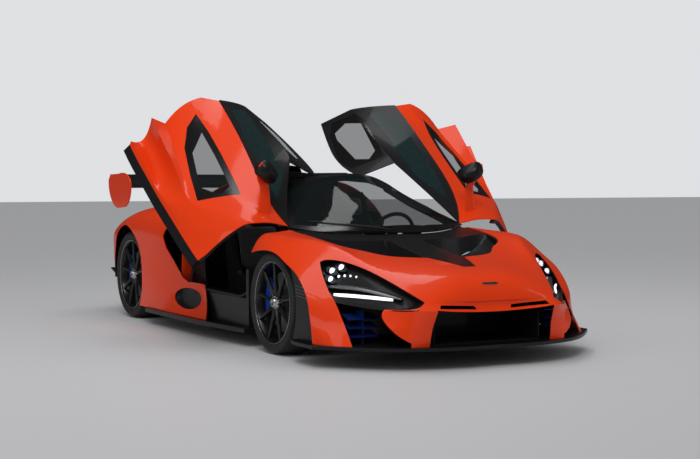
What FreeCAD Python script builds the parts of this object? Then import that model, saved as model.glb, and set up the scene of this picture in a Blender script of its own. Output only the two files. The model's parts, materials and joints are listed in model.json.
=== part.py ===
import FreeCAD, Part
import math
import os

V = FreeCAD.Vector

# Driving sizes of the whole car, in millimetres
wheelbase = 2670.0
half_width = 1000.0
hoop_height = 1000.0
seat = 0.3
skin = 6.0
carbon = 8.0
glass = 5.0
gap = 6.0
overrun = 60.0
splitter_height = 115.0
splitter_thickness = 20.0

# Wheels
front_tyre_radius = 327.0
front_tyre_width = 245.0
front_rim_radius = 262.0
front_half_track = 807.0
rear_tyre_radius = 348.0
rear_tyre_width = 315.0
rear_rim_radius = 275.0
rear_half_track = 762.0
rim_wall = 7.0
rim_lip = 14.0
tyre_bulge = 10.0
spokes = 9
spoke_rim_width = 20.0
spoke_leg_width = 15.0
spoke_depth = 30.0
spoke_fork_share = 0.600
spoke_fork_angle = 24.0
hub_radius = 42.0
hub_bore_radius = 18.0
lock_radius = 30.0
lock_depth = 26.0
disc_radius = 190.0
disc_thickness = 32.0
disc_inset = 40.0
disc_bell_radius = 80.0
caliper_width = 90.0
caliper_reach = 40.0
caliper_angle = 50.0
caliper_clearance = 7.0
upright_width = 60.0
upright_height = 150.0
bracket_thickness = 14.0
running_clearance = 0.05
kingpin_radius = 12.0
eye_radius = 28.0
eye_height = 24.0
arm_radius = 12.0
arm_spread = 75.0

# Hinge of the doors and how far they stand open
hinge_low_shares = (0.681, 0.1015, 0.789)
hinge_high_shares = (0.231, 0.3071, 1.151)
door_swing = 51.05
room_swing_shares = (0.0, 0.25, 0.5, 1.0)
mirror_width = 190.0
mirror_height = 126.0
mirror_round = 34.0
mirror_depth = 110.0
mirror_stalk = 14.0


def place(x_share, y_share, z_share):
    return V(x_share * half_width, y_share * wheelbase, z_share * hoop_height)


def lay(share_rows):
    return [[place(*share) for share in row] for row in share_rows]


def line_of(shares):
    return [place(*share) for share in shares]


def flipped(point):
    return V(-point.x, point.y, point.z)


def other_side(shape):
    return shape.mirror(V(0, 0, 0), V(1, 0, 0))


def both_sides(shape):
    return Part.makeCompound([shape, other_side(shape)])


def full_width(half_grid):
    return [[flipped(p) for p in reversed(row[1:])] + row for row in half_grid]


# Smooth surfaces through grids of points
def steps_of(lines):
    totals = [0.0] * (len(lines[0]) - 1)
    for line in lines:
        for i in range(len(totals)):
            totals[i] += (line[i + 1] - line[i]).Length
    steps = [0.0]
    for total in totals:
        steps.append(steps[-1] + total)
    return steps


def fraction_steps(steps):
    span = steps[-1] - steps[0]
    return [(s - steps[0]) / span for s in steps]


def spline(points, steps):
    curve = Part.BSplineCurve()
    curve.interpolate(Points=points, Parameters=fraction_steps(steps))
    return curve


def smooth_face(grid, down_steps, along_steps):
    along = [spline(row, along_steps) for row in grid]
    pole_columns = zip(*[curve.getPoles() for curve in along])
    down = [spline(list(column), down_steps) for column in pole_columns]
    poles = [list(row) for row in zip(*[curve.getPoles() for curve in down])]
    surface = Part.BSplineSurface()
    surface.buildFromPolesMultsKnots(poles, down[0].getMultiplicities(), along[0].getMultiplicities(),
                                     down[0].getKnots(), along[0].getKnots(), False, False,
                                     down[0].Degree, along[0].Degree)
    return surface.toShape()


def set_in(grid, depth):
    rows = len(grid)
    columns = len(grid[0])
    inner = []
    for i in range(rows):
        inner_row = []
        for j in range(columns):
            down = grid[min(i + 1, rows - 1)][j] - grid[max(i - 1, 0)][j]
            along = grid[i][min(j + 1, columns - 1)] - grid[i][max(j - 1, 0)]
            normal = down.cross(along)
            normal.normalize()
            inner_row.append(grid[i][j] - normal * depth)
        inner.append(inner_row)
    return inner


def closed_solid(faces):
    shell = Part.makeShell(faces)
    shell.sewShape()
    solid = Part.makeSolid(shell.Shells[0])
    if solid.Volume < 0:
        solid.reverse()
    return solid


def between(outer, inner, row_creases=(), column_creases=()):
    """Solid between two grids of points, with sharp lines along the named rows and columns."""
    down_steps = steps_of(list(zip(*outer)))
    along_steps = steps_of(outer)
    row_cuts = [0] + list(row_creases) + [len(outer) - 1]
    column_cuts = [0] + list(column_creases) + [len(outer[0]) - 1]
    faces = []
    for a, b in zip(row_cuts, row_cuts[1:]):
        for c, d in zip(column_cuts, column_cuts[1:]):
            for grid in (outer, inner):
                block = [row[c:d + 1] for row in grid[a:b + 1]]
                faces.append(smooth_face(block, down_steps[a:b + 1], along_steps[c:d + 1]))
    for c, d in zip(column_cuts, column_cuts[1:]):
        for i in (0, len(outer) - 1):
            edge = [outer[i][c:d + 1], inner[i][c:d + 1]]
            faces.append(smooth_face(edge, [0.0, 1.0], along_steps[c:d + 1]))
    for a, b in zip(row_cuts, row_cuts[1:]):
        for j in (0, len(outer[0]) - 1):
            edge = [[outer[i][j] for i in range(a, b + 1)], [inner[i][j] for i in range(a, b + 1)]]
            faces.append(smooth_face(edge, [0.0, 1.0], down_steps[a:b + 1]))
    return closed_solid(faces)


def plate(grid, depth, row_creases=(), column_creases=()):
    return between(grid, set_in(grid, depth), row_creases, column_creases)


# Plain shapes
def block(low, high):
    size = high - low
    return Part.makeBox(size.x, size.y, size.z, low)


def edge_through(points):
    if len(points) == 2:
        return Part.makeLine(points[0], points[1])
    return spline(points, steps_of([points])).toShape()


def outline_face(runs):
    """Flat face inside runs of points; each run is a smooth curve, and runs meet at corners."""
    edges = []
    for run, following in zip(runs, runs[1:] + runs[:1]):
        edges.append(edge_through(run + following[:1]))
    return Part.Face(Part.Wire(edges))


def corner_runs(points):
    return [[point] for point in points]


def side_outline(runs, x):
    return outline_face([[V(x, y * wheelbase, z * hoop_height) for y, z in run] for run in runs])


def side_cutter(yz_shares, x_low, x_high):
    """Cutter with an outline seen from the side, from x_low to x_high."""
    return side_outline(corner_runs(yz_shares), x_low).extrude(V(x_high - x_low, 0, 0))


def smooth_side_cutter(runs, x_low, x_high):
    return side_outline(runs, x_low).extrude(V(x_high - x_low, 0, 0))


def top_cutter(xy_shares, z_low, z_high):
    return smooth_top_cutter(corner_runs(xy_shares), z_low, z_high)


def smooth_top_cutter(runs, z_low, z_high):
    face = outline_face([[V(x * half_width, y * wheelbase, z_low) for x, y in run] for run in runs])
    return face.extrude(V(0, 0, z_high - z_low))


def front_face(runs, y):
    return outline_face([[V(x * half_width, y, z * hoop_height) for x, z in run] for run in runs])


def front_cutter(runs, y_low, y_high):
    return front_face(runs, y_low).extrude(V(0, y_high - y_low, 0))


def rod(start, end, radius):
    axis = end - start
    return Part.makeCylinder(radius, axis.Length, start, axis)


def cross_cylinder(radius, x_low, x_high, y, z):
    return Part.makeCylinder(radius, x_high - x_low, V(x_low, y, z), V(1, 0, 0))


def spun(profile):
    """Solid turned round the x axis from points given as (x, radius)."""
    points = [V(x, 0, r) for x, r in profile]
    face = Part.Face(Part.makePolygon(points + points[:1]))
    return face.revolve(V(0, 0, 0), V(1, 0, 0), 360)


def one(shape):
    return shape.Solids[0] if len(shape.Solids) == 1 else shape


def fused(shapes):
    result = shapes[0]
    for shape in shapes[1:]:
        result = result.fuse(shape)
    return one(result.removeSplitter())


parts = {}


# Front body shell: bonnet, wings and nose, one skin with its openings cut out
front_shares = [
    [(0.0, -0.408, 0.120), (0.230, -0.408, 0.120), (0.420, -0.408, 0.120), (0.620, -0.396, 0.120),
     (0.800, -0.338, 0.120), (0.915, -0.284, 0.120), (0.947, -0.238, 0.120)],
    [(0.0, -0.414, 0.240), (0.230, -0.414, 0.240), (0.420, -0.416, 0.240), (0.620, -0.387, 0.240),
     (0.800, -0.310, 0.236), (0.908, -0.256, 0.234), (0.950, -0.232, 0.232)],
    [(0.0, -0.426, 0.330), (0.230, -0.428, 0.332), (0.420, -0.432, 0.345), (0.615, -0.368, 0.345),
     (0.796, -0.282, 0.345), (0.914, -0.238, 0.345), (0.955, -0.222, 0.350)],
    [(0.0, -0.414, 0.362), (0.230, -0.416, 0.364), (0.424, -0.417, 0.374), (0.612, -0.352, 0.385),
     (0.792, -0.266, 0.395), (0.917, -0.226, 0.392), (0.955, -0.212, 0.400)],
    [(0.0, -0.417, 0.388), (0.230, -0.418, 0.390), (0.428, -0.408, 0.399), (0.608, -0.340, 0.425),
     (0.786, -0.250, 0.440), (0.918, -0.214, 0.430), (0.955, -0.201, 0.440)],
    [(0.0, -0.402, 0.487), (0.230, -0.399, 0.480), (0.425, -0.382, 0.455), (0.600, -0.312, 0.490),
     (0.770, -0.222, 0.525), (0.915, -0.180, 0.520), (0.955, -0.165, 0.522)],
    [(0.0, -0.337, 0.562), (0.230, -0.333, 0.558), (0.420, -0.318, 0.540), (0.590, -0.262, 0.575),
     (0.745, -0.165, 0.652), (0.905, -0.128, 0.610), (0.955, -0.120, 0.575)],
    [(0.0, -0.187, 0.625), (0.230, -0.187, 0.628), (0.420, -0.180, 0.635), (0.600, -0.150, 0.668),
     (0.770, -0.085, 0.728), (0.900, -0.062, 0.690), (0.957, -0.056, 0.640)],
    [(0.0, -0.060, 0.690), (0.230, -0.056, 0.692), (0.440, -0.040, 0.700), (0.620, -0.020, 0.728),
     (0.790, 0.010, 0.745), (0.900, 0.020, 0.705), (0.957, 0.022, 0.655)],
    [(0.0, 0.034, 0.738), (0.230, 0.037, 0.738), (0.450, 0.056, 0.750), (0.620, 0.080, 0.770),
     (0.800, 0.090, 0.752), (0.890, 0.096, 0.712), (0.945, 0.090, 0.630)],
]
mouth_runs_share = [[(-0.410, 0.350), (-0.200, 0.332), (0.200, 0.332)], [(0.410, 0.350), (0.421, 0.240)],
                    [(0.432, 0.0)], [(-0.432, 0.0), (-0.421, 0.240)]]
lamp_top_shares = [(0.455, 0.392), (0.544, 0.486), (0.627, 0.566), (0.712, 0.611), (0.771, 0.618)]
lamp_outer_shares = [(0.814, 0.604), (0.834, 0.540), (0.841, 0.450)]
lamp_low_shares = [(0.834, 0.388), (0.715, 0.360), (0.608, 0.349), (0.500, 0.362)]
intake_outer_shares = [(0.834, 0.388), (0.827, 0.300), (0.821, 0.200)]
intake_inner_shares = [(0.541, 0.160), (0.600, 0.195), (0.645, 0.245), (0.662, 0.302)]
intake_top_shares = [(0.640, 0.349), (0.560, 0.351), (0.500, 0.362)]
slot_runs_share = [[(0.120, 0.341)], [(0.130, 0.361)], [(0.372, 0.376)], [(0.388, 0.356)]]
nose_back_share = -0.100
bonnet_runs_share = [[(0.0, -0.325)], [(0.046, -0.324)],
                     [(0.135, -0.224), (0.235, -0.216), (0.385, -0.192), (0.490, -0.145), (0.590, -0.112),
                      (0.655, -0.045)],
                     [(0.682, 0.030)], [(0.682, 0.120)], [(0.0, 0.120)]]
lamp_centre_share = (0.670, 0.480)
lamp_grow_share = 1.06
lamp_depth_behind = 90.0
lamp_wall = 6.0
light_radius = 24.0
light_reach = 45.0
light_shares = [(0.715, 0.572), (0.765, 0.552), (0.792, 0.505)]
blade_low = 175.0
blade_pitch = 52.0
blade_count = 3
blade_chord = 95.0
blade_thickness = 4.0
blade_tilt = 18.0
blade_inner_share = 0.600
blade_outer_share = 0.800
blade_front_share = -0.300
vent_runs_share = [[(-0.245, 0.120)],
                   [(-0.243, 0.300), (-0.216, 0.412), (-0.188, 0.492), (-0.164, 0.535), (-0.135, 0.562)],
                   [(-0.112, 0.562), (-0.127, 0.497), (-0.138, 0.414), (-0.142, 0.327), (-0.139, 0.250),
                    (-0.131, 0.180)],
                   [(-0.124, 0.120)]]
vent_half_share = 0.925
vent_thickness = 8.0


def front_skin():
    return plate(full_width(lay(front_shares)), skin, row_creases=[1, 2, 4])


def lamp_runs():
    return [lamp_top_shares, lamp_outer_shares, lamp_low_shares]


def lamp_and_intake_runs():
    foot = [(0.825, 0.0), (0.541, 0.0)]
    return [lamp_top_shares, lamp_outer_shares, intake_outer_shares, foot[:1], foot[1:],
            intake_inner_shares, intake_top_shares]


def bonnet_opening(runs):
    half = smooth_top_cutter(runs, 0, 2 * hoop_height)
    return fused([half, other_side(half)])


def front_openings():
    back = nose_back_share * wheelbase
    far = -wheelbase
    mouth = front_cutter(mouth_runs_share, far, back)
    lamp = front_cutter(lamp_and_intake_runs(), far, back)
    slot = front_cutter(slot_runs_share, far, back)
    return [mouth, lamp, other_side(lamp), slot, other_side(slot), bonnet_opening(bonnet_runs_share)]


def splitter_top():
    return splitter_height + splitter_thickness + seat


def below_splitter_top():
    return block(V(-2 * half_width, -wheelbase, 0), V(2 * half_width, wheelbase, splitter_top()))


def front_clamshell():
    shell = front_skin()
    for cutter in front_openings() + [below_splitter_top()]:
        shell = shell.cut(cutter)
    return one(shell)


def moved_grid(grid, y, z):
    return [[p + V(0, y, z) for p in row] for row in grid]


def grown(runs, centre, share):
    middle_x, middle_y = centre
    larger = []
    for run in runs:
        larger.append([(middle_x + (x - middle_x) * share, middle_y + (y - middle_y) * share) for x, y in run])
    return larger


def largest(shape):
    return max(shape.Solids, key=lambda piece: piece.Volume)


def seated_shell(grid, row_creases):
    """A panel thickened by its seating gap on both faces, to cut what lies against it."""
    return between(set_in(grid, -seat), set_in(grid, skin + seat), row_creases)


def headlamps():
    """A deep cup behind each lamp opening, with three round lights standing on its back wall."""
    grid = full_width(lay(front_shares))
    back = nose_back_share * wheelbase
    floor = lamp_depth_behind - lamp_wall
    outer = between(set_in(grid, skin + seat), moved_grid(grid, lamp_depth_behind, 0), row_creases=[1, 2, 4])
    outer = outer.common(front_cutter(grown(lamp_runs(), lamp_centre_share, lamp_grow_share), -wheelbase, back))
    outer = one(outer.cut(plate(grid, skin + seat, row_creases=[1, 2, 4])))
    hollow = between(moved_grid(grid, -overrun, 0), moved_grid(grid, floor, 0), row_creases=[1, 2, 4])
    cup = outer.cut(hollow.common(front_cutter(lamp_runs(), -wheelbase, back)))
    space = between(moved_grid(grid, floor - light_reach, 0), moved_grid(grid, floor + lamp_wall / 2, 0),
                    row_creases=[1, 2, 4])
    lights = []
    for x, z in light_shares:
        ahead = V(x * half_width, -wheelbase / 2, z * hoop_height)
        lights.append(Part.makeCylinder(light_radius, wheelbase / 2, ahead, V(0, 1, 0)).common(space))
    return both_sides(fused([cup] + lights))


def aero_blades():
    """Level blades in the intake under each lamp, carried by one upright plate."""
    inner = blade_inner_share * half_width
    outer = blade_outer_share * half_width
    front = blade_front_share * wheelbase
    middle = (inner + outer) / 2
    top = blade_low + blade_pitch * blade_count
    shapes = [block(V(middle, front, splitter_top()), V(middle + blade_thickness, front + blade_chord, top))]
    for i in range(blade_count):
        blade = block(V(inner, front, 0), V(outer, front + blade_chord, blade_thickness))
        blade.rotate(V(0, front, 0), V(1, 0, 0), blade_tilt)
        shapes.append(put(blade, 0, 0, blade_low + i * blade_pitch))
    return both_sides(fused(shapes))


def arch_vents():
    x = vent_half_share * half_width
    vent = smooth_side_cutter(vent_runs_share, x, x + vent_thickness).cut(below_splitter_top())
    return both_sides(largest(vent.cut(seated_shell(lay(front_shares), [1, 2, 4]))))


# Liners over the front wheels
liner_clearance = 65.0
liner_thickness = 5.0
liner_inner_share = 0.510
liner_outer_share = 0.912
liner_cowl_share = 1.02


def front_liners():
    """A half-round wall over each front wheel, trimmed to lie under the body shell."""
    grid = full_width(lay(front_shares))
    radius = front_tyre_radius + liner_clearance
    inner = liner_inner_share * half_width
    outer = liner_outer_share * half_width
    ring = cross_cylinder(radius + liner_thickness, inner, outer, 0, front_tyre_radius)
    ring = ring.cut(cross_cylinder(radius, inner, outer, 0, front_tyre_radius))
    ring = ring.cut(block(V(0, -wheelbase, -wheelbase), V(half_width, wheelbase, splitter_top())))
    ring = ring.cut(block(V(0, tub_front_share * wheelbase - seat, 0), V(half_width, wheelbase, wheelbase)))
    upper = grid[4:]
    under = between(set_in(upper, -seat), moved_grid(upper, 0, -hoop_height))
    cowl = bonnet_opening(grown(bonnet_runs_share, bonnet_centre_share, liner_cowl_share)).cut(below_cowl(seat))
    return both_sides(largest(ring.common(under).cut(cowl)))


# Splitter and nose duct
splitter_runs_share = [[(0.0, -0.441), (0.350, -0.440), (0.620, -0.405), (0.860, -0.330)], [(1.000, -0.272)],
                       [(1.000, -0.180)], [(0.960, -0.134)], [(0.620, -0.134)], [(0.0, -0.134)]]
duct_wall = 6.0
duct_half_share = 0.375
duct_roof_share = 0.330
duct_depth_share = 0.150
duct_front_share = -0.395


def front_splitter():
    low = splitter_height
    half = smooth_top_cutter(splitter_runs_share, low, low + splitter_thickness)
    return fused([half, other_side(half)])


def duct_back():
    return (duct_front_share + duct_depth_share) * wheelbase


def front_duct():
    y_front = duct_front_share * wheelbase
    floor = splitter_top()
    half = duct_half_share * half_width
    roof = duct_roof_share * hoop_height
    outer = block(V(-half, y_front, floor), V(half, duct_back(), roof))
    inner = block(V(-half + duct_wall, y_front - overrun, floor + duct_wall),
                  V(half - duct_wall, duct_back() - duct_wall, roof - duct_wall))
    return outer.cut(inner)


# Carbon panel ahead of the windscreen, with a raised arrow between two deep air outlets
outlet_shares = [
    [(0.0, -0.360, 0.620), (0.115, -0.360, 0.620), (0.150, -0.360, 0.620), (0.300, -0.360, 0.620),
     (0.450, -0.360, 0.620), (0.570, -0.360, 0.620), (0.720, -0.360, 0.620)],
    [(0.0, -0.225, 0.690), (0.115, -0.225, 0.690), (0.150, -0.225, 0.640), (0.300, -0.225, 0.640),
     (0.450, -0.225, 0.660), (0.570, -0.225, 0.700), (0.720, -0.225, 0.720)],
    [(0.0, -0.196, 0.700), (0.115, -0.196, 0.700), (0.150, -0.196, 0.590), (0.300, -0.196, 0.585),
     (0.450, -0.180, 0.605), (0.570, -0.150, 0.630), (0.720, -0.150, 0.740)],
    [(0.0, -0.120, 0.730), (0.115, -0.120, 0.730), (0.150, -0.120, 0.560), (0.300, -0.120, 0.555),
     (0.450, -0.110, 0.575), (0.570, -0.090, 0.620), (0.720, -0.090, 0.760)],
    [(0.0, -0.048, 0.760), (0.115, -0.048, 0.760), (0.150, -0.048, 0.600), (0.300, -0.048, 0.590),
     (0.450, -0.040, 0.600), (0.570, -0.030, 0.650), (0.720, -0.030, 0.790)],
    [(0.0, -0.012, 0.800), (0.115, -0.012, 0.800), (0.150, -0.012, 0.790), (0.300, -0.010, 0.790),
     (0.450, 0.000, 0.790), (0.570, 0.010, 0.800), (0.720, 0.010, 0.820)],
    [(0.0, 0.130, 0.900), (0.115, 0.130, 0.900), (0.150, 0.130, 0.900), (0.300, 0.130, 0.900),
     (0.450, 0.130, 0.900), (0.570, 0.130, 0.900), (0.720, 0.130, 0.900)],
]
under_shares = [(-0.360, 0.530), (-0.225, 0.588), (-0.196, 0.575), (-0.120, 0.540), (-0.048, 0.575),
                (-0.012, 0.695), (0.030, 0.724), (0.130, 0.768)]
cowl_depth = 200.0
tyre_room_share = 0.585
bonnet_centre_share = (0.0, -0.050)
bonnet_shrink_share = 0.985


def below_cowl(drop):
    """Everything below the underside of the cowl panel, moved down by a length."""
    wide = 2 * half_width
    line = [V(-wide, y * wheelbase, z * hoop_height - drop) for y, z in under_shares]
    outline = Part.makePolygon(line + [V(-wide, wheelbase, 0), V(-wide, -wheelbase, 0), line[0]])
    return Part.Face(outline).extrude(V(2 * wide, 0, 0))


def cowl_panel():
    grid = full_width(lay(front_shares))
    thick = between(grid, moved_grid(grid, 0, -cowl_depth), row_creases=[1, 2, 4])
    outlets = full_width(lay(outlet_shares))
    above = between(moved_grid(outlets, 0, hoop_height / 2), outlets, row_creases=[1, 2, 4, 5],
                    column_creases=[4, 5, 7, 8])
    opening = bonnet_opening(bonnet_runs_share)
    floor_area = bonnet_opening(grown(bonnet_runs_share, bonnet_centre_share, bonnet_shrink_share))
    inner = tyre_room_share * half_width
    tyre_room = cross_cylinder(front_tyre_radius + gap, inner, half_width, 0, front_tyre_radius)
    panel = thick.common(opening).cut(below_cowl(0)).cut(both_sides(tyre_room))
    return largest(panel.cut(above.common(floor_area)))


# Windscreen, its frame and the cabin tub
screen_shares = [
    [(0.0, 0.034, 0.745), (0.300, 0.039, 0.745), (0.510, 0.066, 0.760), (0.668, 0.096, 0.784)],
    [(0.0, 0.110, 0.890), (0.280, 0.118, 0.880), (0.462, 0.150, 0.868), (0.608, 0.177, 0.868)],
    [(0.0, 0.195, 1.030), (0.250, 0.208, 1.012), (0.403, 0.240, 0.978), (0.527, 0.258, 0.955)],
    [(0.0, 0.278, 1.141), (0.210, 0.290, 1.125), (0.343, 0.312, 1.092), (0.434, 0.327, 1.060)],
]
skirt_height = 95.0
skirt_thickness = 30.0
tub_floor = skirt_height + skirt_thickness
tub_floor_thickness = 30.0
tub_half_share = 0.880
sill_width = 190.0
sill_front_share = 0.165
sill_height = 190.0
foot_wall_height = 510.0
tub_front_share = 0.050
tub_rear_share = 0.620
bulkhead_thickness = 40.0
front_bulkhead_height = 560.0
front_bulkhead_half_width = 500.0
back_wall_shares = [(0.0, 0.125), (0.700, 0.125), (0.780, 0.350), (0.780, 0.500), (0.720, 0.620),
                    (0.690, 0.760), (0.610, 0.880), (0.500, 0.985), (0.270, 1.075), (0.0, 1.120)]
tunnel_half_width = 95.0
tunnel_height = 200.0
pillar_radius = 22.0
pillar_inset = 25.0
spine_width = 32.0
spine_top_share = 1.150
spine_depth = 30.0


def led_on(grid, length):
    """The grid with its front edge moved on ahead by a length."""
    longer = []
    for row in grid:
        ahead = row[0] - row[1]
        ahead.normalize()
        longer.append([row[0] + ahead * length] + row[1:])
    return longer


def door_rooms():
    """Room that the left door's roof and skin need beside the windscreen as they swing."""
    rooms = []
    for shares, depth, creases in ((door_top_shares, carbon, [2]), (door_shares, skin, [1, 3, 4, 6])):
        grid = led_on(lay(shares), gap)
        room = between(set_in(grid, -gap), set_in(grid, depth + gap), creases)
        rooms += [swung(room, share) for share in room_swing_shares]
    return rooms


def windscreen():
    screen = plate(full_width(lay(screen_shares)), glass)
    for room in door_rooms():
        screen = screen.cut(room).cut(other_side(room))
    return largest(screen)


def screen_frame():
    rim = [row[-1] for row in lay(screen_shares)]
    points = [V(p.x - pillar_inset, p.y, p.z - pillar_radius - glass) for p in rim]
    rods = [rod(a, b, pillar_radius) for a, b in zip(points, points[1:])]
    joints = [Part.makeSphere(pillar_radius, p) for p in points]
    header = [V(p.x, p.y, p.z - pillar_radius - glass) for p in lay(screen_shares)[-1]]
    rods += [rod(a, b, pillar_radius) for a, b in zip(header, header[1:])]
    joints += [Part.makeSphere(pillar_radius, p) for p in header]
    foot = V(front_bulkhead_half_width, tub_front_share * wheelbase + bulkhead_thickness,
             tub_floor + front_bulkhead_height - pillar_radius)
    rods.append(rod(foot, points[0], pillar_radius))
    return rods + joints


def monocage():
    front = tub_front_share * wheelbase
    rear = tub_rear_share * wheelbase
    sill_front = sill_front_share * wheelbase
    narrow = front_bulkhead_half_width
    side = tub_half_share * half_width
    tunnel_top = tub_floor + tunnel_height
    floor = block(V(-side, sill_front, tub_floor), V(side, rear, tub_floor + tub_floor_thickness))
    tunnel = block(V(-tunnel_half_width, sill_front, tub_floor), V(tunnel_half_width, rear, tunnel_top))
    footwell = block(V(-narrow, front, tub_floor), V(narrow, sill_front, tub_floor + tub_floor_thickness))
    walls = [block(V(narrow - bulkhead_thickness, front, tub_floor),
                   V(narrow, sill_front + bulkhead_thickness, tub_floor + front_bulkhead_height)),
             block(V(narrow, sill_front, tub_floor), V(side, sill_front + bulkhead_thickness, foot_wall_height))]
    sill = block(V(side - sill_width, sill_front, tub_floor), V(side, rear, tub_floor + sill_height))
    nose = block(V(-front_bulkhead_half_width, front - bulkhead_thickness, tub_floor),
                 V(front_bulkhead_half_width, front, tub_floor + front_bulkhead_height))
    back = front_cutter(corner_runs(back_wall_shares), rear - bulkhead_thickness, rear)
    header = lay(screen_shares)[-1][0]
    top = spine_top_share * hoop_height
    spine = block(V(-spine_width / 2, header.y, top - spine_depth), V(spine_width / 2, rear, top))
    post = block(V(-spine_width / 2, rear - bulkhead_thickness, tub_floor), V(spine_width / 2, rear, top))
    rods = screen_frame()
    shapes = [floor, footwell, tunnel, sill, other_side(sill), nose, back, other_side(back), spine, post]
    shapes += walls + [other_side(wall) for wall in walls]
    grid = full_width(lay(screen_shares))
    tub = fused(shapes + rods + [other_side(r) for r in rods])
    return one(tub.cut(between(set_in(grid, -seat), set_in(grid, glass + seat))))


# Cabin fittings
seat_width = 440.0
seat_side = 45.0
seat_front_share = 0.318
seat_middle_shares = [(0.000, 0.100), (0.030, 0.190), (0.080, 0.200), (0.300, 0.150), (0.400, 0.165),
                      (0.460, 0.260), (0.560, 0.600), (0.600, 0.760), (0.660, 0.850), (0.710, 0.840),
                      (0.690, 0.720), (0.600, 0.400), (0.520, 0.080), (0.480, 0.0), (0.080, 0.0)]
seat_side_shares = [(0.040, 0.180), (0.100, 0.270), (0.300, 0.250), (0.400, 0.290), (0.480, 0.420),
                    (0.530, 0.600), (0.620, 0.640), (0.600, 0.400), (0.520, 0.080), (0.480, 0.0), (0.080, 0.0)]
seat_length = 1000.0
dash_height = 675.0
dash_depth = 260.0
dash_thickness = 90.0
dash_crown = 30.0
column_radius = 18.0
column_length = 425.0
wheel_ring_radius = 170.0
wheel_ring_tube = 14.0
wheel_place_shares = (0.360, 0.262, 0.700)
wheel_lean = 68.0


def seat_profile(shares, x_low, x_high):
    y = seat_front_share * wheelbase
    z = tub_floor + tub_floor_thickness + seat
    points = [V(x_low, y + a * seat_length, z + b * seat_length) for a, b in shares]
    return Part.Face(Part.makePolygon(points + points[:1])).extrude(V(x_high - x_low, 0, 0))


def seat_centre():
    return (tunnel_half_width + tub_half_share * half_width - sill_width) / 2


def seat_at(x):
    half = seat_width / 2
    middle = seat_profile(seat_middle_shares, x - half + seat_side, x + half - seat_side)
    sides = [seat_profile(seat_side_shares, x - half, x - half + seat_side),
             seat_profile(seat_side_shares, x + half - seat_side, x + half)]
    return fused([middle] + sides)


def dashboard():
    y = tub_front_share * wheelbase + seat
    half = front_bulkhead_half_width - bulkhead_thickness - seat
    low = tub_floor + tub_floor_thickness + seat
    under = dash_height - dash_thickness
    outline = [V(-half, y, low), V(-half, y, dash_height), V(-half, y + dash_depth / 2, dash_height + dash_crown),
               V(-half, y + dash_depth, dash_height - dash_crown), V(-half, y + dash_depth, under),
               V(-half, y + dash_depth / 2, under - dash_thickness), V(-half, y + dash_depth / 4, low)]
    face = Part.Face(Part.makePolygon(outline + outline[:1]))
    return face.extrude(V(2 * half, 0, 0))


def steering_wheel():
    hub = place(*wheel_place_shares)
    ring = Part.makeTorus(wheel_ring_radius, wheel_ring_tube)
    boss = Part.makeCylinder(wheel_ring_tube * 3, wheel_ring_tube * 2, V(0, 0, -wheel_ring_tube))
    arms = [rod(V(0, 0, 0), V(side * wheel_ring_radius, 0, 0), wheel_ring_tube * 0.8) for side in (-1, 1)]
    arms.append(rod(V(0, 0, 0), V(0, wheel_ring_radius, 0), wheel_ring_tube * 0.8))
    wheel = fused([ring, boss] + arms)
    wheel.rotate(V(0, 0, 0), V(1, 0, 0), -wheel_lean)
    wheel.translate(hub)
    return wheel


def column_axis():
    return V(0, math.sin(math.radians(wheel_lean)), math.cos(math.radians(wheel_lean)))


def steering_column():
    hub = place(*wheel_place_shares) - column_axis() * (wheel_ring_tube + seat)
    return rod(hub, hub - column_axis() * column_length, column_radius)


# Left door, drawn shut; rows run from the roof down, columns from front to rear
door_shares = [
    [(0.660, 0.108, 0.800), (0.700, 0.169, 0.812), (0.712, 0.232, 0.850), (0.700, 0.300, 0.895),
     (0.668, 0.397, 0.955), (0.635, 0.494, 1.005), (0.592, 0.5955, 1.047)],
    [(0.728, 0.112, 0.768), (0.770, 0.169, 0.752), (0.792, 0.229, 0.742), (0.778, 0.300, 0.770),
     (0.748, 0.397, 0.820), (0.722, 0.494, 0.872), (0.700, 0.6115, 0.975)],
    [(0.800, 0.118, 0.730), (0.850, 0.169, 0.690), (0.870, 0.232, 0.640), (0.868, 0.300, 0.620),
     (0.835, 0.397, 0.665), (0.790, 0.494, 0.740), (0.766, 0.614, 0.845)],
    [(0.905, 0.128, 0.640), (0.925, 0.173, 0.580), (0.940, 0.232, 0.520), (0.948, 0.290, 0.466),
     (0.915, 0.390, 0.530), (0.862, 0.491, 0.600), (0.805, 0.5985, 0.669)],
    [(0.918, 0.131, 0.610), (0.934, 0.180, 0.545), (0.947, 0.240, 0.490), (0.953, 0.296, 0.455),
     (0.953, 0.393, 0.515), (0.949, 0.494, 0.575), (0.942, 0.597, 0.636)],
    [(0.932, 0.139, 0.487), (0.945, 0.180, 0.440), (0.952, 0.247, 0.400), (0.953, 0.326, 0.380),
     (0.905, 0.408, 0.420), (0.865, 0.498, 0.470), (0.858, 0.5955, 0.500)],
    [(0.927, 0.146, 0.300), (0.935, 0.210, 0.300), (0.945, 0.285, 0.310), (0.950, 0.370, 0.327),
     (0.956, 0.434, 0.355), (0.965, 0.502, 0.388), (0.975, 0.577, 0.425)],
    [(0.924, 0.152, 0.235), (0.928, 0.225, 0.255), (0.933, 0.300, 0.280), (0.938, 0.375, 0.305),
     (0.944, 0.434, 0.330), (0.953, 0.502, 0.360), (0.962, 0.577, 0.400)],
]
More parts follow.
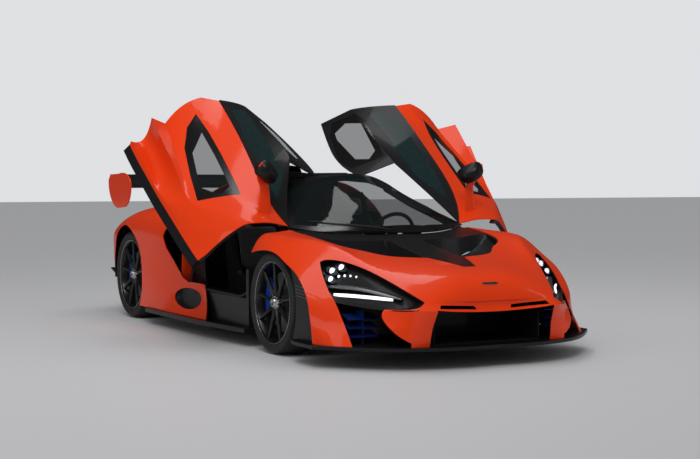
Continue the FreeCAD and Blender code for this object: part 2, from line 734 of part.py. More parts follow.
door_top_shares = [
    door_shares[0],
    [(0.590, 0.180, 0.885), (0.600, 0.232, 0.915), (0.595, 0.290, 0.955), (0.575, 0.348, 0.990),
     (0.540, 0.434, 1.035), (0.490, 0.524, 1.075), (0.450, 0.607, 1.100)],
    [(0.425, 0.322, 1.095), (0.410, 0.345, 1.118), (0.392, 0.375, 1.130), (0.372, 0.412, 1.137),
     (0.340, 0.472, 1.142), (0.305, 0.547, 1.146), (0.275, 0.622, 1.144)],
    [(0.165, 0.308, 1.150), (0.110, 0.342, 1.162), (0.068, 0.382, 1.168), (0.040, 0.427, 1.171),
     (0.026, 0.487, 1.172), (0.023, 0.547, 1.170), (0.023, 0.612, 1.165)],
]
window_shares = [(0.240, 0.722), (0.283, 0.490), (0.371, 0.560), (0.477, 0.655), (0.540, 0.760),
                 (0.568, 0.870), (0.494, 0.848), (0.397, 0.806), (0.300, 0.756)]
pane_shares = [(0.130, 0.350), (0.380, 0.350), (0.350, 0.540), (0.300, 0.590), (0.100, 0.590), (0.060, 0.540),
               (0.060, 0.400)]
card_depth = 30.0
blade_drop = 60.0
blade_depth = 34.0


def window_cutter():
    return side_cutter(window_shares, 0, 2 * half_width)


def pane_cutter():
    return top_cutter(pane_shares, 0, 2 * hoop_height)


def door_skin():
    return plate(lay(door_shares), skin, row_creases=[1, 3, 4, 6]).cut(window_cutter())


def door_roof():
    return plate(lay(door_top_shares), carbon, row_creases=[2]).cut(pane_cutter())


def door_card():
    grid = lay(door_shares)
    lining = between(set_in(grid, skin + seat), set_in(grid, skin + card_depth), row_creases=[1, 3, 4, 6])
    crease = [(y, z) for x, y, z in door_shares[3]]
    above = crease + [(1.0, crease[-1][1]), (1.0, 2.0), (0.0, 2.0), (0.0, crease[0][1])]
    lining = lining.cut(side_cutter(above, 0, 2 * half_width))
    return one(lining.cut(window_cutter()).cut(door_blade()))


def door_glass():
    grid = lay(door_shares)
    side = between(set_in(grid, seat), set_in(grid, seat + glass), row_creases=[1, 3, 4, 6])
    top_grid = lay(door_top_shares)
    top = between(set_in(top_grid, seat), set_in(top_grid, seat + glass), row_creases=[2])
    return Part.makeCompound([one(side.common(window_cutter())), one(top.common(pane_cutter()))])


def door_blade():
    low_line = line_of(door_shares[-1])
    depth = V(blade_depth, 0, 0)
    drop = V(0, 0, blade_drop)
    outer = [[p - V(0, 0, seat) for p in low_line], [p - drop for p in low_line]]
    inner = [[p - depth for p in row] for row in outer]
    return between(outer, inner)


def door_mirror():
    centre = place(0.889, 0.198, 0.949)
    reach = V(mirror_width / 2, mirror_depth / 2, mirror_height / 2)
    case = block(centre - reach, centre + reach)
    case = case.makeFillet(mirror_round, case.Edges)
    foot = place(0.770, 0.155, 0.745)
    across = V(mirror_stalk, 0, 0)
    along = V(0, mirror_depth / 4, 0)
    base = centre - V(mirror_width / 4, 0, mirror_height / 4)
    corners = [-across - along, across - along, across + along, along - across, -across - along]
    ends = [Part.makePolygon([end + corner for corner in corners]) for end in (foot, base)]
    stalk = Part.makeLoft(ends, True, True)
    grid = lay(door_shares)
    door = between(set_in(grid, -seat), set_in(grid, card_depth), row_creases=[1, 3, 4, 6])
    return largest(fused([case, stalk]).cut(door))


def hinge_axis():
    low = place(*hinge_low_shares)
    high = place(*hinge_high_shares)
    return low, high - low


def swung(shape, share):
    """A shape of the left door turned by a share of the way from shut to open."""
    low, axis = hinge_axis()
    turned = shape.copy()
    turned.rotate(low, axis, -door_swing * share)
    return turned


def opened(shape):
    return swung(shape, 1)


# Rear body shell
rear_shares = [
    [(0.440, 0.624, 1.085), (0.470, 0.712, 0.990), (0.480, 0.805, 0.950), (0.470, 0.899, 0.920),
     (0.450, 1.000, 0.880), (0.430, 1.080, 0.835), (0.420, 1.160, 0.785), (0.415, 1.230, 0.735)],
    [(0.600, 0.624, 1.025), (0.660, 0.712, 0.955), (0.690, 0.805, 0.925), (0.700, 0.899, 0.898),
     (0.700, 1.000, 0.862), (0.690, 1.080, 0.820), (0.670, 1.160, 0.775), (0.650, 1.228, 0.730)],
    [(0.740, 0.625, 0.920), (0.800, 0.704, 0.900), (0.840, 0.805, 0.885), (0.860, 0.899, 0.866),
     (0.866, 1.000, 0.832), (0.860, 1.080, 0.790), (0.835, 1.155, 0.745), (0.800, 1.222, 0.705)],
    [(0.860, 0.637, 0.790), (0.915, 0.700, 0.790), (0.938, 0.805, 0.790), (0.948, 0.899, 0.780),
     (0.950, 1.000, 0.750), (0.935, 1.080, 0.712), (0.905, 1.150, 0.675), (0.860, 1.210, 0.640)],
    [(0.860, 0.562, 0.600), (0.935, 0.670, 0.600), (0.955, 0.790, 0.610), (0.958, 0.895, 0.620),
     (0.958, 1.000, 0.615), (0.945, 1.080, 0.595), (0.915, 1.145, 0.570), (0.872, 1.200, 0.545)],
    [(0.880, 0.460, 0.400), (0.908, 0.600, 0.400), (0.955, 0.768, 0.400), (0.958, 0.880, 0.400),
     (0.958, 1.000, 0.400), (0.950, 1.075, 0.400), (0.920, 1.140, 0.410), (0.880, 1.190, 0.420)],
    [(0.936, 0.397, 0.105), (0.948, 0.562, 0.105), (0.952, 0.742, 0.105), (0.955, 0.873, 0.105),
     (0.955, 1.000, 0.105), (0.950, 1.075, 0.150), (0.920, 1.135, 0.200), (0.880, 1.180, 0.250)],
]
intake_shares = [(0.300, 0.362), (0.542, 0.362), (0.548, 0.356), (0.588, 0.390), (0.612, 0.444),
                 (0.641, 0.512), (0.679, 0.593), (0.698, 0.677), (0.688, 0.728), (0.659, 0.767),
                 (0.630, 0.830), (0.622, 0.900), (0.300, 0.900)]
tail_cut_shares = [(1.050, 0.0), (1.400, 0.0), (1.400, 0.540), (1.200, 0.520), (1.140, 0.430), (1.050, 0.300)]
arch_clearance = 45.0
duct_centre_shares = (0.540, 0.245)
duct_radius = 75.0
duct_stretch = 3.1
cover_shares = [
    [(0.0, 0.624, 1.165), (0.0, 0.712, 1.105), (0.0, 0.805, 1.040), (0.0, 0.899, 0.985),
     (0.0, 1.000, 0.925), (0.0, 1.080, 0.875), (0.0, 1.160, 0.820), (0.0, 1.230, 0.765)],
    [(0.230, 0.624, 1.140), (0.235, 0.712, 1.060), (0.240, 0.805, 1.005), (0.240, 0.899, 0.955),
     (0.235, 1.000, 0.905), (0.230, 1.080, 0.858), (0.225, 1.160, 0.803), (0.220, 1.230, 0.750)],
    [(0.436, 0.624, 1.087), (0.466, 0.712, 0.991), (0.476, 0.805, 0.951), (0.466, 0.899, 0.921),
     (0.446, 1.000, 0.881), (0.426, 1.080, 0.836), (0.416, 1.160, 0.786), (0.411, 1.230, 0.736)],
]
scoop_wall = 5.0
louvre_count = 7
louvre_inner_share = 0.070
louvre_outer_share = 0.300
louvre_front_share = 0.800
louvre_pitch_share = 0.036
louvre_sweep_share = 0.030
louvre_open_share = 0.014
scoop_shares = [
    [(0.0, 0.634, 1.205), (0.0, 0.680, 1.200), (0.0, 0.740, 1.150), (0.0, 0.820, 1.045)],
    [(0.095, 0.634, 1.195), (0.088, 0.680, 1.186), (0.064, 0.740, 1.135), (0.020, 0.820, 1.040)],
    [(0.118, 0.634, 1.120), (0.112, 0.680, 1.105), (0.086, 0.740, 1.060), (0.030, 0.820, 1.000)],
]
intake_wall_shares = [
    [(0.700, 0.560, 0.850), (0.690, 0.632, 0.860), (0.652, 0.712, 0.860)],
    [(0.755, 0.545, 0.660), (0.750, 0.625, 0.660), (0.730, 0.690, 0.660)],
    [(0.800, 0.520, 0.500), (0.800, 0.575, 0.500), (0.798, 0.640, 0.500)],
    [(0.800, 0.500, 0.300), (0.800, 0.560, 0.300), (0.795, 0.618, 0.300)],
]


def oval_duct(radius, x_low, x_high):
    y = duct_centre_shares[0] * wheelbase
    z = duct_centre_shares[1] * hoop_height
    tube = cross_cylinder(radius, x_low, x_high, 0, 0)
    stretch = FreeCAD.Matrix()
    stretch.scale(1.0, duct_stretch, 1.0)
    tube = tube.transformGeometry(stretch)
    tube.translate(V(0, y, z))
    return tube


def rear_half():
    shell = plate(lay(rear_shares), skin)
    wide = 2 * half_width
    shell = shell.cut(side_cutter(intake_shares, 0, wide))
    shell = shell.cut(side_cutter(tail_cut_shares, 0, wide))
    arch = cross_cylinder(rear_tyre_radius + arch_clearance, 0, wide, wheelbase, rear_tyre_radius)
    shell = shell.cut(arch)
    shell = shell.cut(block(V(0, -wheelbase, 0), V(wide, 2 * wheelbase, tub_floor + seat)))
    return one(shell.cut(oval_duct(duct_radius, half_width / 2, wide)))


def cover_grid():
    return [list(row) for row in zip(*lay(cover_shares))][::-1]


def engine_cover():
    shell = plate(full_width(cover_grid()), carbon)
    slot = top_cutter([(x / half_width, y / wheelbase) for x, y in pylon_slot()], 0, 2 * hoop_height)
    for cutter in [slot] + louvres():
        shell = shell.cut(cutter).cut(other_side(cutter))
    return one(shell)


def louvres():
    """Swept air slots across the engine cover, one behind the other."""
    slots = []
    for i in range(louvre_count):
        y = louvre_front_share + i * louvre_pitch_share
        swept = y + louvre_sweep_share
        corners = [(louvre_inner_share, y), (louvre_outer_share, swept),
                   (louvre_outer_share, swept + louvre_open_share), (louvre_inner_share, y + louvre_open_share)]
        slots.append(top_cutter(corners, 0, 2 * hoop_height))
    return slots


def roof_scoop():
    """Air scoop behind the roof: an open-fronted hood that stands on the engine cover."""
    grid = full_width([list(row) for row in zip(*lay(scoop_shares))])
    hood = plate(grid, scoop_wall)
    cover = full_width(cover_grid())
    below = between(set_in(cover, -seat), moved_grid(cover, 0, -hoop_height))
    return one(hood.cut(below))


def side_intakes():
    sill_top = tub_floor + sill_height + seat
    wall = plate(lay(intake_wall_shares), carbon)
    return both_sides(wall.cut(block(V(0, 0, 0), V(half_width, wheelbase, sill_top))))


def pylon_slot():
    """Corners of the hole that a wing post stands in."""
    low = pylon_offset - wing_slot_clearance
    high = pylon_offset + pylon_thickness + wing_slot_clearance
    front = min(y for y, z in pylon_shares) * wheelbase - wing_slot_clearance
    rear = max(y for y, z in pylon_shares) * wheelbase + wing_slot_clearance
    return [(low, front), (high, front), (high, rear), (low, rear)]


# Floor edges, tail and running gear
frame_rail_offset = 300.0
frame_rail_width = 60.0
frame_low = 360.0
frame_high = 430.0
skirt_shares = [(0.930, 0.150), (0.985, 0.420), (0.985, 0.800), (0.930, 0.850), (0.700, 0.850), (0.700, 0.150)]
diffuser_front_share = 1.060
diffuser_rear_share = 1.331
diffuser_half_width = 585.0
diffuser_wide_half = 780.0
diffuser_low = 120.0
diffuser_high = 340.0
fin_rear_low = 210.0
fin_thickness = 10.0
diffuser_fins = 6
tail_share = 1.165
tail_half_width = 780.0
tail_low = 225.0
tail_step = 300.0
tail_low_half_width = 860.0
tail_high = 730.0
tail_thickness = 20.0
lamp_height = 18.0
lamp_width = 300.0
lamp_depth = 16.0
pipe_radius = 48.0
pipe_wall = 4.0
pipe_length = 160.0
wing_span_half = 900.0
wing_top_shares = [(1.030, 1.044), (1.045, 1.064), (1.085, 1.084), (1.130, 1.102), (1.175, 1.122),
                   (1.200, 1.140)]
wing_low_shares = [(1.199, 1.134), (1.165, 1.106), (1.120, 1.074), (1.080, 1.048), (1.050, 1.036),
                   (1.036, 1.036)]
endplate_thickness = 10.0
endplate_runs_share = [[(1.003, 1.010), (1.006, 1.090), (1.030, 1.136)], [(1.100, 1.152)], [(1.186, 1.144)],
                       [(1.204, 1.100), (1.196, 1.000), (1.150, 0.890)], [(1.120, 0.870)],
                       [(1.060, 0.880), (1.020, 0.930)]]
wing_pivot_shares = (1.120, 1.083)
wing_pin_radius = 6.0
wing_slot_clearance = 3.0
wing_head_radius = 9.0
pylon_offset = 330.0
pylon_thickness = 14.0
pylon_foot = 120.0
pylon_shares = [(1.070, 0.780), (1.150, 0.780), (1.152, 0.950), (1.136, 1.046), (1.107, 1.046), (1.090, 0.950)]


def side_skirts():
    low = skirt_height
    half = top_cutter(skirt_shares, low, low + skirt_thickness - seat)
    return both_sides(half)


def diffuser_ramp(x_low, x_high, margin):
    front = diffuser_front_share * wheelbase
    rear = diffuser_rear_share * wheelbase
    ramp = [V(x_low, front, diffuser_low - margin), V(x_low, rear, diffuser_high - margin),
            V(x_low, rear, diffuser_high + fin_thickness + margin),
            V(x_low, front, diffuser_low + fin_thickness + margin)]
    face = Part.Face(Part.makePolygon(ramp + ramp[:1]))
    return face.extrude(V(x_high - x_low, 0, 0))


def rear_diffuser():
    front = diffuser_front_share * wheelbase
    rear = diffuser_rear_share * wheelbase
    half = diffuser_half_width
    behind_tyre = wheelbase + rear_tyre_radius + overrun / 2
    wide = diffuser_ramp(-diffuser_wide_half, diffuser_wide_half, 0)
    wide = wide.cut(block(V(-half_width, 0, 0), V(half_width, behind_tyre, hoop_height)))
    shapes = [diffuser_ramp(-half, half, 0), wide]
    for i in range(diffuser_fins):
        x = -half + i * (2 * half - fin_thickness) / (diffuser_fins - 1)
        fin = [V(x, front, diffuser_low), V(x, (front + rear) / 2, diffuser_low), V(x, rear, fin_rear_low),
               V(x, rear, diffuser_high + fin_thickness / 2)]
        face = Part.Face(Part.makePolygon(fin + fin[:1]))
        shapes.append(face.extrude(V(fin_thickness, 0, 0)))
    return fused(shapes)


def rear_panel():
    y = tail_share * wheelbase
    front = y - tail_thickness
    slab = block(V(-half_width, front, tail_step), V(half_width, y, hoop_height))
    slab = slab.fuse(block(V(-tail_low_half_width, front, tail_low), V(tail_low_half_width, y, tail_step)))
    shell = plate(lay(rear_shares), skin + seat)
    cover = plate(full_width(cover_grid()), carbon + seat)
    low = V(rear_shares[0][-1][0] * half_width, front, rear_shares[0][-2][2] * hoop_height - carbon)
    seam = block(low - V(carbon, 0, 0), V(low.x + 2 * carbon, y, hoop_height))
    for cutter in (shell, other_side(shell), cover, seam, other_side(seam)):
        slab = slab.cut(cutter)
    inside = V(0, y - tail_thickness / 2, tail_step + tail_thickness)
    return [piece for piece in slab.Solids if piece.isInside(inside, seat, True)][0]


def tail_lamps():
    y = tail_share * wheelbase + seat
    lamp = block(V(tail_half_width - lamp_width, y, tail_high - lamp_height * 3),
                 V(tail_half_width, y + lamp_depth, tail_high - lamp_height * 2))
    return both_sides(lamp)


def rear_frame():
    front = wheelbase + frame_height + 2 * seat
    rear = tail_share * wheelbase - tail_thickness - seat
    low_x = frame_rail_offset
    high_x = frame_rail_offset + frame_rail_width
    rail = block(V(low_x, front, frame_low), V(high_x, rear, frame_high))
    hanger = block(V(low_x, rear - frame_height / 2, diffuser_low), V(high_x, rear, frame_low))
    hanger = hanger.cut(diffuser_ramp(-half_width, half_width, seat))
    hanger = max(hanger.Solids, key=lambda piece: piece.CenterOfMass.z)
    beam = block(V(-low_x, front, frame_low), V(low_x, front + frame_rail_width, frame_high))
    side = rail.fuse(hanger)
    return fused([beam, side, other_side(side)])


def exhausts():
    y = tail_share * wheelbase + seat
    pipes = []
    for side in (-1, 1):
        at = V(side * pipe_radius * 1.3, y, tail_high - pipe_radius * 2)
        pipe = Part.makeCylinder(pipe_radius, pipe_length / 2, at, V(0, 1, 0))
        pipes.append(pipe.cut(Part.makeCylinder(pipe_radius - pipe_wall, pipe_length, at, V(0, 1, 0))))
    return Part.makeCompound(pipes)


def pivot_place():
    return wing_pivot_shares[0] * wheelbase, wing_pivot_shares[1] * hoop_height


def rear_wing():
    span = wing_span_half
    y, z = pivot_place()
    half = smooth_side_cutter([wing_top_shares, wing_low_shares], 0, span)
    low = pylon_offset - wing_slot_clearance
    high = pylon_offset + pylon_thickness + wing_slot_clearance
    reach = wing_head_radius + wing_slot_clearance
    ahead = reach + wing_slot_clearance
    slot = block(V(low, y - ahead, z - overrun), V(high, y + ahead, z + reach))
    middle = (low + high) / 2
    bore = cross_cylinder(wing_pin_radius + running_clearance, middle - overrun, middle + overrun, y, z)
    half = half.cut(slot).cut(bore)
    return fused([half, other_side(half)])


def wing_endplates():
    x = wing_span_half + seat
    return both_sides(smooth_side_cutter(endplate_runs_share, x, x + endplate_thickness))


def wing_pylons():
    y, z = pivot_place()
    low = pylon_offset
    high = pylon_offset + pylon_thickness
    blade = side_cutter(pylon_shares, low, high)
    head = cross_cylinder(wing_head_radius, low, high, y, z)
    neck = block(V(low, y - wing_head_radius, z - overrun), V(high, y + wing_head_radius, z))
    reach = overrun - wing_slot_clearance
    pin = cross_cylinder(wing_pin_radius, (low + high) / 2 - reach, (low + high) / 2 + reach, y, z)
    post = block(V(low, y - pylon_foot / 2, frame_high + seat), V(high, y + pylon_foot / 2, z - overrun * 2))
    return both_sides(fused([blade, head, neck, pin, post]))


# Wheels; each is drawn on the x axis with its outer face towards +x
def tyre(radius, width, rim_radius):
    half = width / 2
    bead = rim_radius - rim_lip
    wall = radius - tyre_bulge
    side = [(half - rim_lip * 3, radius), (half - rim_lip, wall), (half, wall - rim_lip * 2),
            (half, rim_radius + rim_lip), (half - rim_lip, bead + rim_lip + seat)]
    return spun([(-x, r) for x, r in reversed(side)] + side)


def bar(start, end, start_width, end_width, depth):
    """Flat bar along x-facing points, drawn from one width to another."""
    along = end - start
    across = V(0, -along.z, along.y)
    across.normalize()
    corners = [start + across * (start_width / 2), end + across * (end_width / 2),
               end - across * (end_width / 2), start - across * (start_width / 2)]
    return Part.Face(Part.makePolygon(corners + corners[:1])).extrude(V(depth, 0, 0))


def spoke(reach, x):
    """One spoke, single at the rim and forked into two legs at the hub."""
    fork = V(x, 0, reach * spoke_fork_share)
    legs = [bar(fork, V(x, 0, reach), spoke_rim_width * 1.3, spoke_rim_width, spoke_depth)]
    for side in (-1, 1):
        angle = math.radians(side * spoke_fork_angle / 2)
        foot = V(x, hub_radius * math.sin(angle), hub_radius * math.cos(angle) * 0.9)
        top = V(x, side * spoke_leg_width / 3, fork.z + spoke_leg_width)
        legs.append(bar(foot, top, spoke_leg_width, spoke_leg_width, spoke_depth))
    return legs


def rim(radius, width):
    half = width / 2
    lip = half - rim_lip
    barrel = spun([(-lip, radius), (lip, radius), (lip, radius - rim_lip), (lip - rim_wall * 2, radius - rim_wall * 3),
                   (-lip, radius - rim_wall * 2)])
    face = half - rim_lip - rim_wall
    shapes = [barrel]
    for i in range(spokes):
        turn = i * 360.0 / spokes
        for leg in spoke(radius - rim_wall * 2, face - spoke_depth):
            leg.rotate(V(0, 0, 0), V(1, 0, 0), turn)
            shapes.append(leg)
    hub = spun([(face - spoke_depth, 0), (face, 0), (face, hub_radius), (face - spoke_depth, hub_radius)])
    lock = spun([(face, 0), (face + lock_depth, 0), (face + lock_depth, lock_radius), (face, lock_radius)])
    return fused(shapes + [hub, lock]).cut(hub_bore(face + lock_depth / 2))


def hub_bore(x_high):
    return spun([(-overrun, 0), (x_high, 0), (x_high, hub_bore_radius), (-overrun, hub_bore_radius)])


def disc(width):
    face = width / 2 - rim_lip - rim_wall - spoke_depth - seat
    back = face - disc_inset - disc_thickness
    ring = spun([(back, disc_bell_radius), (back, disc_radius), (back + disc_thickness, disc_radius),
                 (back + disc_thickness, disc_bell_radius)])
    bell = spun([(back, 0), (face, 0), (face, disc_bell_radius), (back, disc_bell_radius)])
    return fused([ring, bell]).cut(hub_bore(face + overrun))


def caliper(width):
    face = width / 2 - rim_lip - rim_wall - spoke_depth - seat
    middle = face - disc_inset - disc_thickness / 2
    reach = disc_radius + caliper_reach
    body = block(V(middle - caliper_width / 2, 0, disc_radius - caliper_reach * 2),
                 V(middle + disc_thickness, reach, reach))
    slot_radius = disc_radius + caliper_clearance
    slot_half = disc_thickness / 2 + caliper_clearance
    slot = spun([(middle - slot_half, 0), (middle + slot_half, 0), (middle + slot_half, slot_radius),
                 (middle - slot_half, slot_radius)])
    ring = spun([(middle - caliper_width, reach), (middle + caliper_width, reach),
                 (middle + caliper_width, reach * 2), (middle - caliper_width, reach * 2)])
    result = one(body.cut(slot).cut(ring))
    result.rotate(V(0, 0, 0), V(1, 0, 0), -caliper_angle)
    return result


def upright(width):
    face = width / 2 - rim_lip - rim_wall - spoke_depth - seat
    back = face - disc_inset - disc_thickness - caliper_clearance
    low = block(V(back - upright_width, -upright_width / 2, -upright_height / 2),
                V(back, upright_width / 2, upright_height / 2))
    radius = hub_bore_radius - running_clearance
    end = face + spoke_depth - seat
    stub = spun([(back - upright_width, 0), (end, 0), (end, radius), (back - upright_width, radius)])
    high = disc_inset + disc_thickness / 2
    plate_face = face - high - caliper_width / 2 - seat
    bracket = block(V(plate_face - bracket_thickness, 0, 0),
                    V(plate_face, disc_radius + caliper_reach / 2, upright_width / 2))
    bracket.rotate(V(0, 0, 0), V(1, 0, 0), 90 - caliper_angle)
    return fused([low, stub, bracket])


def arms(x_inner, x_outer, y, z, rise):
    shapes = []
    for height in (z - rise, z + rise):
        for spread in (-arm_spread, arm_spread):
            shapes.append(rod(V(x_inner, y + spread, height), V(x_outer, y, height), arm_radius))
    return shapes


def kingpin_x(width):
    face = width / 2 - rim_lip - rim_wall - spoke_depth - seat
    return face - disc_inset - disc_thickness - caliper_clearance - upright_width / 2


def knuckle(width):
    x = kingpin_x(width)
    reach = upright_height / 2 + seat + eye_height
    pin = Part.makeCylinder(kingpin_radius, 2 * reach, V(x, 0, -reach), V(0, 0, 1))
    return fused([upright(width), pin])


def eyes(x, z_half):
    rings = []
    for low in (z_half + seat, -z_half - seat - eye_height):
        ring = Part.makeCylinder(eye_radius, eye_height, V(x, 0, low))
        rings.append(ring.cut(Part.makeCylinder(kingpin_radius + running_clearance, eye_height, V(x, 0, low))))
    return rings


def put(shape, x, y, z):
    moved = shape.copy()
    moved.translate(V(x, y, z))
    return moved


# Engine and the frames that carry the axles
engine_half_width = 320.0
engine_height = 420.0
engine_low = 140.0
frame_half_width = 360.0
frame_height = 180.0
frame_wall = 30.0


def engine():
    front = tub_rear_share * wheelbase + seat
    return block(V(-engine_half_width, front, engine_low),
                 V(engine_half_width, wheelbase + frame_height, engine_low + engine_height))


def inner_face_of(half_track, width):
    face = width / 2 - rim_lip - rim_wall - spoke_depth - seat
    return half_track + face - disc_inset - disc_thickness - caliper_clearance - upright_width


def front_suspension():
    z = front_tyre_radius
    rear = tub_front_share * wheelbase - bulkhead_thickness - seat
    low = splitter_height + splitter_thickness + seat
    nose = duct_back() + seat
    carrier = block(V(-frame_half_width, nose, low), V(frame_half_width, rear, z + frame_height / 2))
    outer = front_half_track + kingpin_x(front_tyre_width)
    rise = upright_height / 2 + seat + eye_height / 2
    links = arms(frame_half_width - frame_wall, outer - (eye_radius + kingpin_radius) / 2, 0, z, rise)
    rings = [put(ring, front_half_track, 0, z) for ring in eyes(kingpin_x(front_tyre_width), upright_height / 2)]
    side = links + rings
    return fused([carrier] + side + [other_side(piece) for piece in side])


def rear_suspension():
    z = rear_tyre_radius
    outer = inner_face_of(rear_half_track, rear_tyre_width)
    links = arms(engine_half_width + seat, outer + frame_wall, wheelbase, z, upright_height / 3)
    post = put(upright(rear_tyre_width), rear_half_track, wheelbase, z)
    beside_engine = block(V(0, 0, 0), V(engine_half_width + seat, 2 * wheelbase, hoop_height))
    return both_sides(one(fused(links + [post]).cut(beside_engine)))


def collect_parts():
    parts["front_clamshell"] = front_clamshell()
    parts["front_splitter"] = front_splitter()
    parts["front_duct"] = front_duct()
    parts["headlamps"] = headlamps()
    parts["aero_blades"] = aero_blades()
    parts["arch_vents"] = arch_vents()
    parts["front_liners"] = front_liners()
    parts["cowl_panel"] = cowl_panel()
    parts["windscreen"] = windscreen()
    parts["monocage"] = monocage()
    parts["seat_left"] = seat_at(seat_centre())
    parts["seat_right"] = seat_at(-seat_centre())
    parts["dashboard"] = fused([dashboard(), steering_column()])
    parts["steering_wheel"] = steering_wheel()
    door = {"skin": door_skin(), "roof": door_roof(), "card": door_card(), "glass": door_glass(),
            "blade": door_blade(), "mirror": door_mirror()}
    for piece, shape in door.items():
        left = opened(shape)
        parts["door_" + piece + "_left"] = left
        parts["door_" + piece + "_right"] = other_side(left)
    parts["rear_clamshell"] = both_sides(rear_half())
    parts["engine_cover"] = engine_cover()
    parts["roof_scoop"] = roof_scoop()
    parts["side_intakes"] = side_intakes()
    parts["engine"] = engine()
    parts["side_skirts"] = side_skirts()
    parts["rear_diffuser"] = rear_diffuser()
    parts["rear_panel"] = rear_panel()
    parts["rear_frame"] = rear_frame()
    parts["tail_lamps"] = tail_lamps()
    parts["exhausts"] = exhausts()
    parts["rear_wing"] = rear_wing()
    parts["wing_endplates"] = wing_endplates()
    parts["wing_pylons"] = wing_pylons()
    parts["front_suspension"] = front_suspension()
    parts["rear_suspension"] = rear_suspension()
    collect_wheels()


def collect_wheels():
    corners = {"front": (front_tyre_radius, front_tyre_width, front_rim_radius, front_half_track, 0),
               "rear": (rear_tyre_radius, rear_tyre_width, rear_rim_radius, rear_half_track, wheelbase)}
    for end, (radius, width, rim_radius, half_track, y) in corners.items():
        pieces = {"tyre": tyre(radius, width, rim_radius), "rim": rim(rim_radius, width), "disc": disc(width),
                  "caliper": caliper(width)}
        if end == "front":
            pieces["knuckle"] = knuckle(width)
        for piece, shape in pieces.items():
            left = put(shape, half_track, y, radius)
            parts[piece + "_" + end + "_left"] = left
            parts[piece + "_" + end + "_right"] = other_side(left)


def middle_of_length():
    names = ("front_clamshell", "front_splitter", "rear_clamshell", "rear_diffuser")
    ends = [parts[name].optimalBoundingBox(False, False) for name in names]
    return (min(end.YMin for end in ends) + max(end.YMax for end in ends)) / 2


collect_parts()
shift = V(0, -middle_of_length(), 0)
os.makedirs("parts", exist_ok=True)
for name, shape in parts.items():
    shape.translate(shift)
    shape.exportStep("parts/" + name + ".step")
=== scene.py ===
import json
import math

import bmesh
import bpy
import numpy as np
from mathutils import Matrix, Vector
from mathutils.bvhtree import BVHTree


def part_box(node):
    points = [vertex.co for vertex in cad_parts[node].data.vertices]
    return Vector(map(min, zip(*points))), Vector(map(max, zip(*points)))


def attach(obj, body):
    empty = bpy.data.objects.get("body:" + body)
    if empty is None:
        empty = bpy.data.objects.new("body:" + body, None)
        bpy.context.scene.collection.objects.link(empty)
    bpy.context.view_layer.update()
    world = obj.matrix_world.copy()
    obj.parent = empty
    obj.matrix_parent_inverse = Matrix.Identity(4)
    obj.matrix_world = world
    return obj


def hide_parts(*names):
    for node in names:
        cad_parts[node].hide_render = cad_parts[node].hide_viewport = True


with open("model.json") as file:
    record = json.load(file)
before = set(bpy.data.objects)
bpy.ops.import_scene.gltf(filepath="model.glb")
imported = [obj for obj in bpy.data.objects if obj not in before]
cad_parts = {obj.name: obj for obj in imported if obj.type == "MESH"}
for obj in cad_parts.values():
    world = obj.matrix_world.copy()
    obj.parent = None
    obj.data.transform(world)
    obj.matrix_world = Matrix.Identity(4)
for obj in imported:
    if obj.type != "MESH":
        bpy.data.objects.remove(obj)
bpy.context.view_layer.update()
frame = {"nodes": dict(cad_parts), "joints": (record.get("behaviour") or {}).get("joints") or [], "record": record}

# Camera
# The photograph was taken from ahead of the car's front right corner, at about chest height.
# The lens is a short telephoto on a 36 mm wide sensor.
camera_place = (-4.6034, -9.0681, 1.0973)
camera_yaw = 0.4937
camera_pitch = -0.0356
sensor_width_mm = 36.0
focal_length_mm = 71.2
camera_data = bpy.data.cameras.new("camera")
camera_data.sensor_width = sensor_width_mm
camera_data.lens = focal_length_mm
camera = bpy.data.objects.new("camera", camera_data)
bpy.context.collection.objects.link(camera)
camera.location = camera_place
camera.rotation_euler = (math.pi / 2 + camera_pitch, 0.0, -camera_yaw)
bpy.context.scene.camera = camera
bpy.context.scene.view_settings.view_transform = "Standard"


# Floor and studio light
# A pale floor runs out under a pale world, which shows pale to the lens and lights the car softly.
# Glossy panels mirror a darker room than the lens sees, with three long softboxes and a soft sun.
floor_half = 60.0
floor_finish = {"Base Color": (0.60, 0.60, 0.61, 1.0), "Roughness": 0.55}
light_colour = (0.86, 0.87, 0.89, 1.0)
light_strength = 0.50
background_colour = (0.74, 0.75, 0.77, 1.0)
background_strength = 1.0
mirrored_strength = 0.05
car_middle = (0.0, -0.5, 0.6)
sun_place = (-3.0, -4.0, 6.0)
sun_strength = 1.0
sun_angle = 0.5
# A softbox is its place, the point it faces, its width, its length and its power.
softboxes = {"overhead_softbox": ((-0.6, -0.5, 5.5), (0.0, 0.0, 0.0), 1.4, 7.0, 95.0),
             "side_softbox_right": ((-7.5, -2.5, 3.0), car_middle, 1.6, 6.0, 55.0),
             "side_softbox_left": ((7.0, -5.0, 3.0), car_middle, 1.6, 6.0, 45.0)}


def new_material(name, finish):
    """One Principled shader wired to the output, set from a table of socket names and values."""
    material = bpy.data.materials.new(name)
    material.use_nodes = True
    shader = material.node_tree.nodes["Principled BSDF"]
    for socket, value in finish.items():
        shader.inputs[socket].default_value = value
    return material, material.node_tree, shader


def background(node, colour, strength):
    """Sets one of the world's backgrounds and gives its output."""
    node.inputs["Color"].default_value = colour
    node.inputs["Strength"].default_value = strength
    return node.outputs["Background"]


def chosen_by(ray, otherwise, for_ray):
    """One of two backgrounds, by whether a ray is of the named kind."""
    choice = sky_tree.nodes.new("ShaderNodeMixShader")
    sky_tree.links.new(light_path.outputs[ray], choice.inputs[0])
    sky_tree.links.new(otherwise, choice.inputs[1])
    sky_tree.links.new(for_ray, choice.inputs[2])
    return choice.outputs[0]


